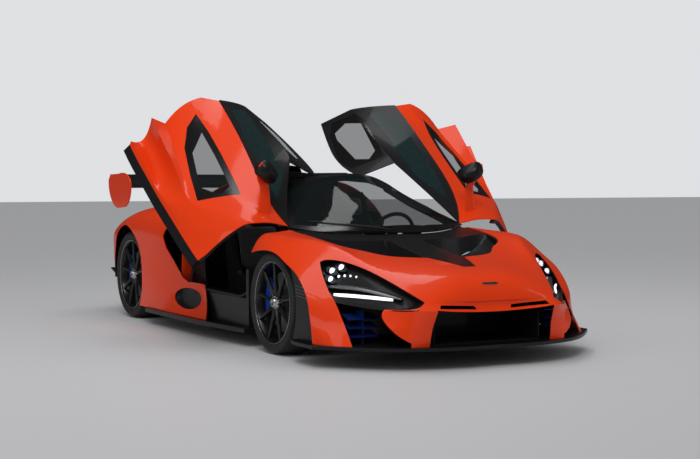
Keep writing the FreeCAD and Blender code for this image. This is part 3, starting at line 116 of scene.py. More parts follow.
def new_light(name, kind, place, target, power):
    """A light at a place, turned to a target."""
    data = bpy.data.lights.new(name, kind)
    data.energy = power
    light = bpy.data.objects.new(name, data)
    bpy.context.collection.objects.link(light)
    light.location = place
    light.rotation_euler = (Vector(target) - Vector(place)).to_track_quat("-Z", "Y").to_euler()
    return data


floor_corners = [(-floor_half, -floor_half, 0), (floor_half, -floor_half, 0),
                 (floor_half, floor_half, 0), (-floor_half, floor_half, 0)]
floor_mesh = bpy.data.meshes.new("floor")
floor_mesh.from_pydata(floor_corners, [], [(0, 1, 2, 3)])
floor_mesh.materials.append(new_material("floor", floor_finish)[0])
floor = bpy.data.objects.new("floor", floor_mesh)
bpy.context.collection.objects.link(floor)

world = bpy.data.worlds.new("studio")
bpy.context.scene.world = world
world.use_nodes = True
sky_tree = world.node_tree
light_path = sky_tree.nodes.new("ShaderNodeLightPath")
lighting = background(sky_tree.nodes["Background"], light_colour, light_strength)
mirrored = background(sky_tree.nodes.new("ShaderNodeBackground"), background_colour, mirrored_strength)
seen = background(sky_tree.nodes.new("ShaderNodeBackground"), background_colour, background_strength)
in_gloss = chosen_by("Is Glossy Ray", lighting, mirrored)
to_lens = chosen_by("Is Camera Ray", in_gloss, seen)
sky_tree.links.new(to_lens, sky_tree.nodes["World Output"].inputs["Surface"])

for name, (place, target, width, length, power) in softboxes.items():
    box = new_light(name, "AREA", place, target, power)
    box.shape = "RECTANGLE"
    box.size = width
    box.size_y = length
sun = new_light("soft_sun", "SUN", sun_place, (0.0, 0.0, 0.0), sun_strength)
sun.angle = sun_angle


# Painted panels
# The body shells, door skins and wing end plates are moulded skins in orange-red paint under lacquer.
# Their triangles are joined and the normals smoothed, so that reflections run over a panel in one sweep.
paint_colour = (0.80, 0.048, 0.003, 1.0)
paint_deep_colour = (0.70, 0.036, 0.002, 1.0)
paint_finish = {"Roughness": 0.42, "Specular IOR Level": 0.1, "Coat Weight": 0.4, "Coat Roughness": 0.08}
flake_scale = 900.0
smooth_angle = math.radians(32)
join_distance = 0.00002


def link_piece(name, mesh, body, slot):
    """Puts a finished mesh into the scene as a piece that rides on a body."""
    piece = bpy.data.objects.new(name, mesh)
    bpy.context.collection.objects.link(piece)
    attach(piece, body)
    return piece


def body_holding(node):
    """The name of the body that a node belongs to."""
    for body, nodes in frame["record"]["behaviour"]["bodies"].items():
        if node in nodes:
            return body


def joined_copy(node, suffix, material, slot):
    """A copy of a node with equal corners joined and its normals averaged up to an angle."""
    mesh = frame["nodes"][node].data.copy()
    shape = bmesh.new()
    shape.from_mesh(mesh)
    bmesh.ops.remove_doubles(shape, verts=shape.verts, dist=join_distance)
    bmesh.ops.dissolve_degenerate(shape, edges=shape.edges, dist=join_distance)
    shape.to_mesh(mesh)
    shape.free()
    for name in [a.name for a in mesh.attributes if a.name == "custom_normal"]:
        mesh.attributes.remove(mesh.attributes[name])
    mesh.shade_smooth()
    mesh.set_sharp_from_angle(angle=smooth_angle)
    mesh.materials.clear()
    mesh.materials.append(material)
    piece = link_piece(node + suffix, mesh, body_holding(node), slot)
    weighted = piece.modifiers.new("weighted normals", "WEIGHTED_NORMAL")
    weighted.keep_sharp = True
    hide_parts(node)
    return piece


def pattern(tree, kind, **settings):
    """A texture node on the object's own coordinates, with its sockets set."""
    node = tree.nodes.new(kind)
    for socket, value in settings.items():
        node.inputs[socket].default_value = value
    coordinates = tree.nodes.new("ShaderNodeTexCoord").outputs["Object"]
    tree.links.new(coordinates, node.inputs["Vector"])
    return node


def noise(tree, scale, detail):
    return pattern(tree, "ShaderNodeTexNoise", Scale=scale, Detail=detail).outputs["Fac"]


def colour_between(tree, factor, low_colour, high_colour, low=0.3, high=0.7):
    """Ramp from one colour to another between two factor values."""
    ramp = tree.nodes.new("ShaderNodeValToRGB")
    ramp.color_ramp.elements[0].position = low
    ramp.color_ramp.elements[0].color = low_colour
    ramp.color_ramp.elements[1].position = high
    ramp.color_ramp.elements[1].color = high_colour
    tree.links.new(factor, ramp.inputs["Fac"])
    return ramp.outputs["Color"]


paint, paint_tree, paint_shader = new_material("orange_paint", paint_finish)
flakes = noise(paint_tree, flake_scale, 1.0)
flake_colour = colour_between(paint_tree, flakes, paint_deep_colour, paint_colour, 0.35, 0.65)
paint_tree.links.new(flake_colour, paint_shader.inputs["Base Color"])
for node in ("front_clamshell", "rear_clamshell", "door_skin_left", "door_skin_right", "wing_endplates"):
    joined_copy(node, "_paint", paint, "paint")


# Carbon panels
# The splitter, sills, cowl, roof panels, engine cover and tail are woven carbon under a satin lacquer.
# A twill of two threads crossing at right angles shows as a fine diagonal grain.
carbon_dark = (0.006, 0.006, 0.007, 1.0)
carbon_light = (0.016, 0.0165, 0.018, 1.0)
carbon_finish = {"Roughness": 0.4, "Specular IOR Level": 0.16, "Coat Weight": 0.12, "Coat Roughness": 0.08}
weave_scale = 130.0
weave_waver = 0.4
carbon_nodes = ("front_splitter", "front_duct", "front_liners", "arch_vents", "cowl_panel", "engine_cover",
                "roof_scoop", "side_intakes", "side_skirts", "rear_diffuser", "rear_panel", "rear_wing",
                "wing_pylons", "door_roof_left", "door_roof_right", "door_blade_left", "door_blade_right",
                "headlamps")


def woven_material(name, dark, light, finish):
    """Twill: the product of two wave patterns that cross, on the object's own coordinates."""
    material, tree, shader = new_material(name, finish)
    crossed = tree.nodes.new("ShaderNodeMath")
    crossed.operation = "MULTIPLY"
    for thread, direction in enumerate(("X", "Z")):
        wave = pattern(tree, "ShaderNodeTexWave", Scale=weave_scale, Distortion=weave_waver)
        wave.bands_direction = direction
        tree.links.new(wave.outputs["Fac"], crossed.inputs[thread])
    colour = colour_between(tree, crossed.outputs[0], dark, light, 0.1, 0.8)
    tree.links.new(colour, shader.inputs["Base Color"])
    return material


carbon = woven_material("satin_carbon", carbon_dark, carbon_light, carbon_finish)
for node in carbon_nodes:
    joined_copy(node, "_carbon", carbon, "carbon")


# Cabin
# The tub, seats, dashboard, door linings and steering wheel are black carbon, suede and moulded trim.
# They are matte or satin, so that little more than their edges catches the light.
def speckled(name, dark, light, scale, roughness, metallic=0.0, specular=0.5):
    """One finish whose colour wanders between two near values with fine noise."""
    finish = {"Roughness": roughness, "Metallic": metallic, "Specular IOR Level": specular}
    material, tree, shader = new_material(name, finish)
    colour = colour_between(tree, noise(tree, scale, 3.0), (*dark, 1.0), (*light, 1.0))
    tree.links.new(colour, shader.inputs["Base Color"])
    return material


cabin = speckled("cabin_trim", (0.006, 0.006, 0.006), (0.018, 0.018, 0.019), 420.0, 0.62)
for node in ("dashboard", "steering_wheel", "door_card_left", "door_card_right"):
    joined_copy(node, "_trim", cabin, "cabin")
for node in ("monocage", "seat_left", "seat_right"):
    joined_copy(node, "_shell", carbon, "carbon")


# Tyres
# Each tyre is black rubber with four grooves round the tread, slanted cuts across its ribs and fine rings
# on its walls. The shape is one profile across the tyre, carried round the axle, with its tread pressed in.
sides = (("left", 1.0), ("right", -1.0))
bead_radii = {"front": 0.262, "rear": 0.275}
tread_turns = 720
tread_share = 0.86
crown_drop = 0.010
groove_depth = 0.0055
groove_half_width = 0.0042
groove_steepness = 1.8
groove_shares = (-0.56, -0.20, 0.20, 0.56)
cut_count = 90
cut_depth = 0.0032
cut_lean = 10.56
cut_threshold = 0.80
cut_sharpness = 8.0
cut_start_share = 0.24
cut_shift_share = 0.375
wall_count = 22
shoulder_rate = 2.4
belly_turn = 0.42
bead_draw = 0.9
ring_height = 0.0006
ring_rate = 55.0
ring_turns = (0.3, 0.8)


def round_box(node):
    """The middle, half width and radius of a round node whose axle lies along x."""
    low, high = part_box(node)
    return (low + high) / 2, (high.x - low.x) / 2, (high.z - low.z) / 2


def new_piece(name, points, faces, material, body, slot):
    """A smooth mesh with its faces turned outwards, as a piece on a body."""
    mesh = bpy.data.meshes.new(name)
    mesh.from_pydata(np.asarray(points).reshape(-1, 3).tolist(), [], faces)
    shape = bmesh.new()
    shape.from_mesh(mesh)
    bmesh.ops.recalc_face_normals(shape, faces=shape.faces)
    shape.to_mesh(mesh)
    shape.free()
    mesh.shade_smooth()
    mesh.materials.append(material)
    return link_piece(name, mesh, body, slot)


def grid_piece(name, grid, material, body, slot, wrap_columns=True):
    """Quads over a grid of points (rows, columns, 3) whose rows close on themselves, and its columns too."""
    rows, columns = grid.shape[:2]
    j = np.arange(columns if wrap_columns else columns - 1)
    i, j = np.meshgrid(np.arange(rows), j, indexing="ij")
    i_next = (i + 1) % rows
    j_next = (j + 1) % columns
    corners = [i * columns + j, i_next * columns + j, i_next * columns + j_next, i * columns + j_next]
    faces = np.stack(corners, -1).reshape(-1, 4).tolist()
    return new_piece(name, grid, faces, material, body, slot)


def wall_half_width(half_width, turn):
    """Half width from the tread (turn 0) to the bead (turn 1): a quarter round out to the belly, then a
    parabola in to the bead, with rings as a sine between two turns."""
    round_out = np.sqrt(np.clip(1 - (1 - turn * shoulder_rate) ** 2, 0, 1)) * (turn < belly_turn)
    past_belly = np.clip(turn - belly_turn, 0, 1) / (1 - belly_turn)
    draw_in = (1 - bead_draw * past_belly ** 2) * (turn >= belly_turn)
    rings = ring_height * np.sin(turn * ring_rate) * (turn > ring_turns[0]) * (turn < ring_turns[1])
    return half_width * (tread_share + (1 - tread_share) * (round_out + draw_in)) + rings


def tyre_grid(centre, half_width, radius, bead_radius, sign):
    """Radius against width is a crown that drops with the cube of the width, less the grooves and the cuts,
    where a cosine round the tyre, leaning with the width, is near its top."""
    across = np.linspace(-1.0, 1.0, 91)
    angle = np.linspace(0, 2 * np.pi, tread_turns, endpoint=False)[:, None]
    tread_width = across * half_width * tread_share
    crown = radius - crown_drop * np.abs(across) ** 3
    grooves = sum(np.clip(1 - np.abs(tread_width - share * half_width) / groove_half_width, 0, 1)
                  for share in groove_shares)
    outer = np.abs(across)[None, :]
    wave = np.cos(cut_count * angle + cut_lean * across[None, :] + np.pi * (outer > cut_shift_share))
    cuts = np.clip((wave - cut_threshold) * cut_sharpness, 0, 1) * (outer > cut_start_share)
    grooved = crown - groove_depth * np.clip(grooves * groove_steepness, 0, 1)
    tread_radius = grooved[None, :] - cut_depth * cuts
    tread_x = np.broadcast_to(tread_width[None, :], tread_radius.shape)
    turn = np.linspace(0, 1, wall_count)[None, :] * np.ones_like(angle)
    wall_radius = bead_radius + (radius - crown_drop - bead_radius) * (1 - turn)
    wall_x = wall_half_width(half_width, turn)
    x = np.concatenate([-wall_x[:, ::-1], tread_x, wall_x], 1)
    r = np.concatenate([wall_radius[:, ::-1], tread_radius, wall_radius], 1)
    return np.stack([centre.x + x * sign, centre.y + r * np.cos(angle), centre.z + r * np.sin(angle)], -1)


rubber = speckled("tyre_rubber", (0.008, 0.008, 0.008), (0.018, 0.018, 0.018), 300.0, 0.7)
for end, bead_radius in bead_radii.items():
    for side, sign in sides:
        node = "tyre_%s_%s" % (end, side)
        grid = tyre_grid(*round_box(node), bead_radius, sign)
        piece = grid_piece(node + "_tread", grid, rubber, body_holding(node), "tyre")
        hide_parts(node)


# Wheels
# Each wheel is one forging: nine spokes, single at the rim and forked at the hub, in a deep barrel.
# It is satin black with a bright turned edge round the lip, and one central nut and ten studs show.
spoke_count = 9
spoke_section = np.array([(-1.0, 0.0), (-0.80, 0.55), (-0.30, 0.95), (0.0, 1.0), (0.30, 0.95), (0.80, 0.55),
                          (1.0, 0.0), (0.8, -1.0), (-0.8, -1.0)])
face_inset = 0.021
rim_edge = 0.010
fork_share = 0.60
stem_half_widths = (0.0125, 0.0085)
stem_depths = (0.012, 0.012)
leg_foot = (0.036, math.radians(23.1))
leg_overlap = 0.05
leg_top_angle = 0.012
leg_half_widths = (0.0075, 0.0068)
leg_depths = (0.013, 0.012)
dish_depths = (0.012, 0.018)
dish_power = 1.5
barrel_turns = 144
# A step is the side of the wheel that it is on, its depth from that side and its drop from the radius.
barrel_steps = ((1, 0.014, 0.0), (1, 0.012, 0.004), (1, 0.014, 0.010), (1, 0.026, 0.018), (0, 0.0, 0.026),
                (-1, 0.030, 0.020), (-1, 0.014, 0.008), (-1, 0.014, 0.0))
lip_steps = ((1, 0.0135, 0.0005), (1, 0.0115, 0.003), (1, 0.0125, 0.006), (1, 0.016, 0.004))
nut_turns = 72
# A step is its reach past the spokes' face and its radius.
nut_steps = ((-0.045, 0.002), (-0.045, 0.046), (-0.020, 0.046), (-0.014, 0.040), (-0.014, 0.030),
             (0.006, 0.028), (0.010, 0.024), (0.004, 0.014), (0.002, 0.002))
stud_count = 10
stud_circle = 0.036
stud_steps = ((-0.016, 0.0042), (-0.009, 0.0042), (-0.007, 0.00252))
sharp_angle = math.radians(40)


def unit(vectors):
    """Each vector of a row divided by its length."""
    return vectors / np.linalg.norm(vectors, axis=-1, keepdims=True)


def on_side(points, sign):
    """Points of the car's left side, mirrored to the right one for a sign of -1."""
    return points * np.array([sign, 1.0, 1.0])


def swept_points(path, across, up, half_widths, depths, section):
    """Section points (a, b) carried along a path: point = path + a * width * across + b * depth * up."""
    return (path[:, None, :] + section[None, :, 0, None] * half_widths[:, None, None] * across[:, None, :]
            + section[None, :, 1, None] * depths[:, None, None] * up[:, None, :])


def spoke_points(start, end, half_widths, depths, dish, turn):
    """A straight leg between two (radius, angle) ends, turned round the axle, which sinks by the dish."""
    t = np.linspace(0.0, 1.0, 18)
    y = (1 - t) * start[0] * np.sin(start[1]) + t * end[0] * np.sin(end[1])
    z = (1 - t) * start[0] * np.cos(start[1]) + t * end[0] * np.cos(end[1])
    x = -dish(np.hypot(y, z))
    path = np.stack([x, y * np.cos(turn) + z * np.sin(turn), z * np.cos(turn) - y * np.sin(turn)], -1)
    along = unit(np.gradient(path, axis=0))
    across = unit(np.cross(along, np.array([1.0, 0.0, 0.0])))
    up = np.cross(across, along)
    widths = half_widths[0] * (1 - t) + half_widths[1] * t
    thicknesses = depths[0] * (1 - t) + depths[1] * t
    return swept_points(path, across, up, widths, thicknesses, spoke_section)


def closed_piece(name, tubes, material, body, slot):
    """Tubes in one mesh: quads between the rows of each, whose columns wrap, and one face on each end."""
    points, faces, base = [], [], 0
    for tube in tubes:
        rows, columns = tube.shape[:2]
        i, j = np.meshgrid(np.arange(rows - 1), np.arange(columns), indexing="ij")
        j_next = (j + 1) % columns
        corners = [i * columns + j, i * columns + j_next, (i + 1) * columns + j_next, (i + 1) * columns + j]
        faces += (np.stack(corners, -1).reshape(-1, 4) + base).tolist()
        faces.append([base + c for c in range(columns)])
        faces.append([base + (rows - 1) * columns + c for c in reversed(range(columns))])
        points.append(tube.reshape(-1, 3))
        base += rows * columns
    piece = new_piece(name, np.concatenate(points), faces, material, body, slot)
    piece.data.set_sharp_from_angle(angle=sharp_angle)
    return piece


def turned_grid(profile, turns):
    """A profile of (x, radius) points carried round the x axis."""
    angle = np.linspace(0, 2 * np.pi, turns, endpoint=False)[:, None]
    profile = np.asarray(profile)
    x = np.broadcast_to(profile[None, :, 0], (turns, len(profile)))
    return np.stack([x, profile[None, :, 1] * np.cos(angle), profile[None, :, 1] * np.sin(angle)], -1)


def spoke_grids(reach):
    """Nine spokes, each a stem and two legs. The dish deepens towards the hub by a power of the radius."""
    def dish(r):
        return dish_depths[0] + dish_depths[1] * (1 - np.clip(r / reach, 0, 1)) ** dish_power

    fork = reach * fork_share
    leg_top = reach * (fork_share + leg_overlap)
    grids = []
    for turn in np.arange(spoke_count) * 2 * math.pi / spoke_count:
        grids.append(spoke_points((fork, 0), (reach, 0), stem_half_widths, stem_depths, dish, turn))
        for lean in (-1, 1):
            foot = (leg_foot[0], lean * leg_foot[1])
            top = (leg_top, lean * leg_top_angle)
            grids.append(spoke_points(foot, top, leg_half_widths, leg_depths, dish, turn))
    return grids


def stud_grids(face):
    """Short turned pins on a circle round the axle."""
    grids = []
    for turn in 2 * math.pi * (np.arange(stud_count) + 0.5) / stud_count:
        stud = turned_grid([(face + step, radius) for step, radius in stud_steps], 12)
        offset = np.array([0.0, stud_circle * math.cos(turn), stud_circle * math.sin(turn)])
        grids.append(np.swapaxes(stud, 0, 1) + offset)
    return grids


def wheel_pieces(end, side, sign):
    """Spokes, barrel, lip, nut and studs round the wheel's own centre."""
    node = "rim_%s_%s" % (end, side)
    body = body_holding(node)
    rim_centre, _, radius = round_box(node)
    tyre_centre, half, _ = round_box("tyre_%s_%s" % (end, side))
    centre = np.array([tyre_centre.x, rim_centre.y, rim_centre.z])
    face = half - face_inset

    def turned_piece(part, profile, turns, material, slot, wrap_columns=True):
        grid = on_side(turned_grid(profile, turns), sign) + centre
        grid_piece(node + part, grid, material, body, slot, wrap_columns)

    def stepped(steps):
        return [(facing * (half - depth), radius - drop) for facing, depth, drop in steps]

    outward = np.array([face, 0, 0])
    spokes = [on_side(grid + outward, sign) + centre for grid in spoke_grids(radius - rim_edge)]
    piece = closed_piece(node + "_spokes", spokes, alloy, body, "alloy")
    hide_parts(node)
    turned_piece("_barrel", stepped(barrel_steps), barrel_turns, alloy, "alloy")
    turned_piece("_lip", stepped(lip_steps), barrel_turns, turned_metal, "steel")
    nut_profile = [(face + step, nut_radius) for step, nut_radius in nut_steps]
    turned_piece("_nut", nut_profile, nut_turns, turned_metal, "steel", wrap_columns=False)
    studs = [on_side(grid, sign) + centre for grid in stud_grids(face)]
    closed_piece(node + "_studs", studs, turned_metal, body, "steel")


alloy = speckled("satin_black_alloy", (0.022, 0.022, 0.023), (0.045, 0.045, 0.047), 200.0, 0.28, 0.8)
turned_metal = speckled("turned_metal", (0.36, 0.36, 0.37), (0.55, 0.55, 0.56), 260.0, 0.28, 1.0)
for end in bead_radii:
    for side, sign in sides:
        wheel_pieces(end, side, sign)


# Brakes, knuckles and arms
# Iron discs run inside blue calipers. The knuckles, arms, engine block and pipes are cast or welded metal.
# All of them are the solids themselves, joined and smoothed.
iron = speckled("brake_disc", (0.10, 0.10, 0.10), (0.20, 0.20, 0.20), 160.0, 0.4, 0.9)
blue = speckled("blue_caliper", (0.004, 0.05, 0.38), (0.006, 0.07, 0.50), 200.0, 0.3, 0.1)
cast = speckled("cast_metal", (0.10, 0.10, 0.105), (0.2, 0.2, 0.205), 120.0, 0.5, 0.9)
for end in bead_radii:
    for side, sign in sides:
        joined_copy("disc_%s_%s" % (end, side), "_iron", iron, "steel")
        joined_copy("caliper_%s_%s" % (end, side), "_blue", blue, "caliper")
for node in ("knuckle_front_left", "knuckle_front_right", "front_suspension", "rear_suspension", "engine",
             "exhausts", "rear_frame"):
    joined_copy(node, "_metal", cast, "metal")


# Glass
# The windscreen and the door panes are thin tinted glass with a black printed border round their edges.
# The border is cut into each pane's own mesh, along planes through its outline moved in by its width.
glass_finish = {"Base Color": (0.010, 0.014, 0.014, 1.0), "Roughness": 0.03, "Alpha": 0.42}
border_width = 0.040
screen_low_border = border_width * 1.4
screen_high_border = border_width * 1.2
corner_cut = 0.030
corner_reach = 1.5
straight_corner = 0.3
window_side = 0.75
window_outline = [(0.641, 0.722), (0.756, 0.490), (0.991, 0.560), (1.274, 0.655), (1.442, 0.760),
                  (1.517, 0.870), (1.319, 0.848), (1.060, 0.806), (0.801, 0.756)]
roof_height = 1.1
roof_outline = [(0.130, 0.935), (0.380, 0.935), (0.350, 1.442), (0.300, 1.575), (0.100, 1.575),
                (0.060, 1.442), (0.060, 1.068)]
parting_place = (0.52, 1.0, 0.95)
parting_direction = (0.8, 0.0, -0.6)
screen_low_edge = [(0.0, 0.091, 0.745), (0.300, 0.104, 0.745), (0.510, 0.176, 0.760), (0.668, 0.256, 0.784)]
screen_high_edge = [(0.0, 0.742, 1.141), (0.210, 0.774, 1.125), (0.343, 0.833, 1.092), (0.434, 0.873, 1.060)]
screen_facing = (0.0, -0.8, 0.6)
front_axle = round_box("tyre_front_left")[0].y
hinge = next(joint for joint in frame["joints"] if joint["name"] == "door_hinge_left")
hinge_place = np.array(hinge["pos_m"])
door_turn = Matrix.Rotation(-math.radians(hinge["range_deg"][1]), 3, Vector(hinge["axis"]))


def car_points(points):
    """Points of the shut car, in metres, with y measured back from the front axle."""
    return np.asarray(points, float) + np.array([0.0, front_axle, 0.0])


def opened(points, sign):
    """Carries points of the shut left door to the open door on one side, +1 for the left one."""
    turned = (car_points(points) - hinge_place) @ np.array(door_turn).T + hinge_place
    return on_side(turned, sign)


def opened_direction(direction, sign):
    return on_side(np.array(door_turn @ Vector(direction)), sign)


def outline_planes(outline):
    """(point, inward normal) in the outline's plane for each side moved in, and one across each corner."""
    points = [np.array(p, float) for p in outline]
    middle = sum(points) / len(points)
    planes = []
    for i, start in enumerate(points):
        along = unit(points[(i + 1) % len(points)] - start)
        normal = np.array([-along[1], along[0]])
        normal *= np.sign(normal @ (middle - start))
        planes.append((start + normal * border_width, normal))
        inward = along + unit(points[i - 1] - start)
        if np.linalg.norm(inward) > straight_corner:
            inward = unit(inward)
            planes.append((start + inward * (border_width + corner_cut) * corner_reach, inward))
    return planes


def bordered(node, planes, is_clear):
    """A pane's copy, cut along planes, with its clear faces in glass and the rest in black print."""
    piece = joined_copy(node, "_pane", glass, "glass")
    shape = bmesh.new()
    shape.from_mesh(piece.data)
    for point, normal in planes:
        bmesh.ops.bisect_plane(shape, geom=shape.verts[:] + shape.edges[:] + shape.faces[:], dist=0.00001,
                               plane_co=point, plane_no=normal)
    for face in shape.faces:
        face.material_index = 0 if is_clear(np.array(face.calc_center_median())) else 1
    shape.to_mesh(piece.data)
    shape.free()
    piece.data.materials.append(print_black)


def door_pane(side, sign):
    """One door's side window and roof pane, each clear inside its own outline."""
    window = [(opened((window_side, p[0], p[1]), sign), opened_direction((0.0, n[0], n[1]), sign))
              for p, n in outline_planes(window_outline)]
    roof = [(opened((p[0], p[1], roof_height), sign), opened_direction((n[0], n[1], 0.0), sign))
            for p, n in outline_planes(roof_outline)]
    parting = opened(parting_place, sign)
    parting_normal = opened_direction(parting_direction, sign)

    def is_clear(place):
        planes = window if (place - parting) @ parting_normal > 0 else roof
        return all((place - point) @ normal > 0 for point, normal in planes)

    bordered("door_glass_" + side, window + roof, is_clear)


def edge_planes(edge, width, facing):
    """(point, normal, far x) for each stretch of an edge seen from above, moved along its normal."""
    planes = []
    for a, b in zip(edge, edge[1:]):
        normal = facing * np.array([a[1] - b[1], b[0] - a[0], 0.0]) / math.hypot(b[0] - a[0], b[1] - a[1])
        planes.append((a + normal * width, normal, b[0]))
    return planes


glass = new_material("tinted_glass", glass_finish)[0]
print_black = speckled("black_print", (0.004, 0.004, 0.004), (0.007, 0.007, 0.007), 600.0, 0.18)
for side, sign in sides:
    door_pane(side, sign)

low_edge = car_points(screen_low_edge)
high_edge = car_points(screen_high_edge)
high_planes = edge_planes(high_edge, screen_high_border, -1.0)
side_normal = np.cross(high_edge[-1] - low_edge[-1], np.array(screen_facing))
side_normal *= -np.sign(side_normal[0]) / np.linalg.norm(side_normal)
shared_planes = [plane[:2] for plane in edge_planes(low_edge, screen_low_border, 1.0)]
shared_planes.append((low_edge[-1] + side_normal * border_width, side_normal))


def clear_in_screen(place):
    """Whether a place is inside the planes of its half of the windscreen."""
    near = np.array([abs(place[0]), place[1], place[2]])
    top = next((plane for plane in high_planes if near[0] < plane[2]), high_planes[-1])
    return all((near - point) @ normal > 0 for point, normal in shared_planes + [top[:2]])


half_planes = shared_planes + [plane[:2] for plane in high_planes]
half_planes += [(np.array([edge[0], 0.0, 0.0]), np.array([1.0, 0.0, 0.0])) for edge in high_edge[1:3]]
other_half = [(on_side(point, -1.0), on_side(normal, -1.0)) for point, normal in half_planes]
bordered("windscreen", half_planes + other_half, clear_in_screen)


# Headlamps
# Each lamp is a black cup with a cluster of round lenses at its outer top, a grey satin shelf below them,
# and a white light bar under the shelf that runs from the outer edge to near the tip.
lens_places = [(0.792, 0.505, 0.021), (0.765, 0.552, 0.023), (0.715, 0.572, 0.023), (0.735, 0.520, 0.011),
               (0.708, 0.524, 0.010), (0.684, 0.524, 0.009), (0.662, 0.520, 0.008)]
lens_lead = 0.009
lens_turns = 40
# A step is its height towards the lens's front and its share of the lens's radius.
bezel_steps = ((-0.012, 1.0), (-0.002, 1.12), (0.003, 1.10), (0.002, 0.94), (-0.006, 0.90), (-0.012, 0.88))
dome_steps = ((-0.008, 0.88), (-0.005, 0.84), (0.0, 0.62), (0.003, 0.34), (0.004, 0.01))
shelf_path = [(0.822, -0.545, 0.462), (0.760, -0.620, 0.462), (0.680, -0.725, 0.455), (0.600, -0.845, 0.432),
              (0.530, -0.960, 0.405)]
shelf_reach = (0.030, 0.011)
shelf_upward = (0.0, -0.25, 0.97)
bar_path = [(0.812, -0.640, 0.420), (0.740, -0.725, 0.416), (0.660, -0.835, 0.410), (0.585, -0.945, 0.402)]
bar_reach = (0.006, 0.010)
lens_glow = 1.6
bar_glow = 1.1


def smooth_path(points, count):
    """Catmull-Rom curve through points, sampled evenly in its parameter."""
    points = np.asarray(points, float)
    ended = np.concatenate([[2 * points[0] - points[1]], points, [2 * points[-1] - points[-2]]])
    result = []
    for u in np.linspace(0, len(points) - 1, count):
        i = min(int(u), len(points) - 2)
        t = u - i
        p0, p1, p2, p3 = ended[i:i + 4]
        result.append(0.5 * (2 * p1 + (p2 - p0) * t + (2 * p0 - 5 * p1 + 4 * p2 - p3) * t ** 2
                             + (3 * p1 - p0 - 3 * p2 + p3) * t ** 3))
    return np.array(result)


def rounded_section(count, power):
    """Points (across, up) of a unit superellipse."""
    angle = np.linspace(0, 2 * np.pi, count, endpoint=False)
    across = np.sign(np.cos(angle)) * np.abs(np.cos(angle)) ** (2 / power)
    up = np.sign(np.sin(angle)) * np.abs(np.sin(angle)) ** (2 / power)
    return np.stack([across, up], -1)


def bar_points(path, half_width, half_height, power=4.0, count=16, up=(0.0, 0.0, 1.0), taper=0.0):
    """A rounded bar along a path. Its height keeps to the up direction, and its ends may taper."""
    along = unit(np.gradient(path, axis=0))
    across = unit(np.cross(along, np.array(up)))
    upward = np.cross(across, along)
    size = 1 - taper * np.abs(np.linspace(-1, 1, len(path))) ** 6
    section = rounded_section(count, power)
    return swept_points(path, across, upward, half_width * size, half_height * size, section)


def glowing(name, colour, strength):
    """A light source's face: pale colour that also gives off light, a little uneven."""
    material, tree, shader = new_material(name, {"Roughness": 0.2, "Emission Strength": strength})
    low = tuple(c * 0.85 for c in colour[:3]) + (1.0,)
    shade = colour_between(tree, noise(tree, 90.0, 2.0), low, colour, 0.35, 0.65)
    tree.links.new(shade, shader.inputs["Base Color"])
    tree.links.new(shade, shader.inputs["Emission Color"])
    return material


def facing_grid(profile, turns, place, axis):
    """A profile of (height, radius) points carried round an axis through a place."""
    side = unit(np.cross(axis, [0.0, 0.0, 1.0]))
    up = np.cross(side, axis)
    angle = np.linspace(0, 2 * np.pi, turns, endpoint=False)[:, None, None]
    height, radius = np.array(profile).T[:, None, :, None]
    return np.array(place) + height * np.array(axis) + radius * (np.cos(angle) * side + np.sin(angle) * up)


def surface_tree(node, moved=lambda corners: corners):
    """A node's faces as a search tree, with its corners at rest or moved."""
    mesh = frame["nodes"][node].data
    corners = moved(np.array([vertex.co for vertex in mesh.vertices]))
    return BVHTree.FromPolygons(corners.tolist(), [face.vertices[:] for face in mesh.polygons])


lens_white = glowing("lamp_lens_white", (0.80, 0.88, 1.0, 1.0), lens_glow)
bar_white = glowing("lamp_bar_white", (0.95, 0.96, 1.0, 1.0), bar_glow)
shelf_grey = speckled("lamp_shelf_grey", (0.12, 0.12, 0.125), (0.2, 0.2, 0.205), 260.0, 0.28, 0.8)
bezel = speckled("lamp_bezel", (0.2, 0.2, 0.21), (0.34, 0.34, 0.35), 260.0, 0.2, 1.0)
lamp_axis = (0.0, -1.0, 0.0)
lamp_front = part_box("headlamps")[0].y - 0.1
lamp_tree = surface_tree("headlamps")


def lens_pieces(name, x, z, radius):
    """A turned bezel and a domed lens, set where a line drawn back at (x, z) meets the cup."""
    seat = lamp_tree.ray_cast(Vector((x, lamp_front, z)), Vector((0.0, 1.0, 0.0)))[0]
    place = np.array(seat) - np.array([0.0, lens_lead, 0.0])

    def turned(steps):
        profile = [(height, radius * share) for height, share in steps]
        return facing_grid(profile, lens_turns, place, lamp_axis)

    grid_piece(name + "_bezel", turned(bezel_steps), bezel, "car", "lamp")
    closed_piece(name + "_lens", [np.swapaxes(turned(dome_steps), 0, 1)], lens_white, "car", "lamp")


shelf = bar_points(smooth_path(car_points(shelf_path), 40), *shelf_reach, power=2.4, count=20,
                   up=shelf_upward, taper=0.5)
bar = bar_points(smooth_path(car_points(bar_path), 40), *bar_reach, power=5.0, taper=0.3)
for side, sign in sides:
    for number, (x, z, radius) in enumerate(lens_places):
        lens_pieces("headlamp_%s_%d" % (side, number), x * sign, z, radius)
    closed_piece("headlamp_%s_shelf" % side, [on_side(shelf, sign)], shelf_grey, "car", "metal")
    closed_piece("headlamp_%s_bar" % side, [on_side(bar, sign)], bar_white, "car", "lamp")
blade_blue = speckled("blade_blue", (0.002, 0.012, 0.09), (0.003, 0.017, 0.12), 220.0, 0.35, 0.1)
joined_copy("aero_blades", "_blue", blade_blue, "caliper")


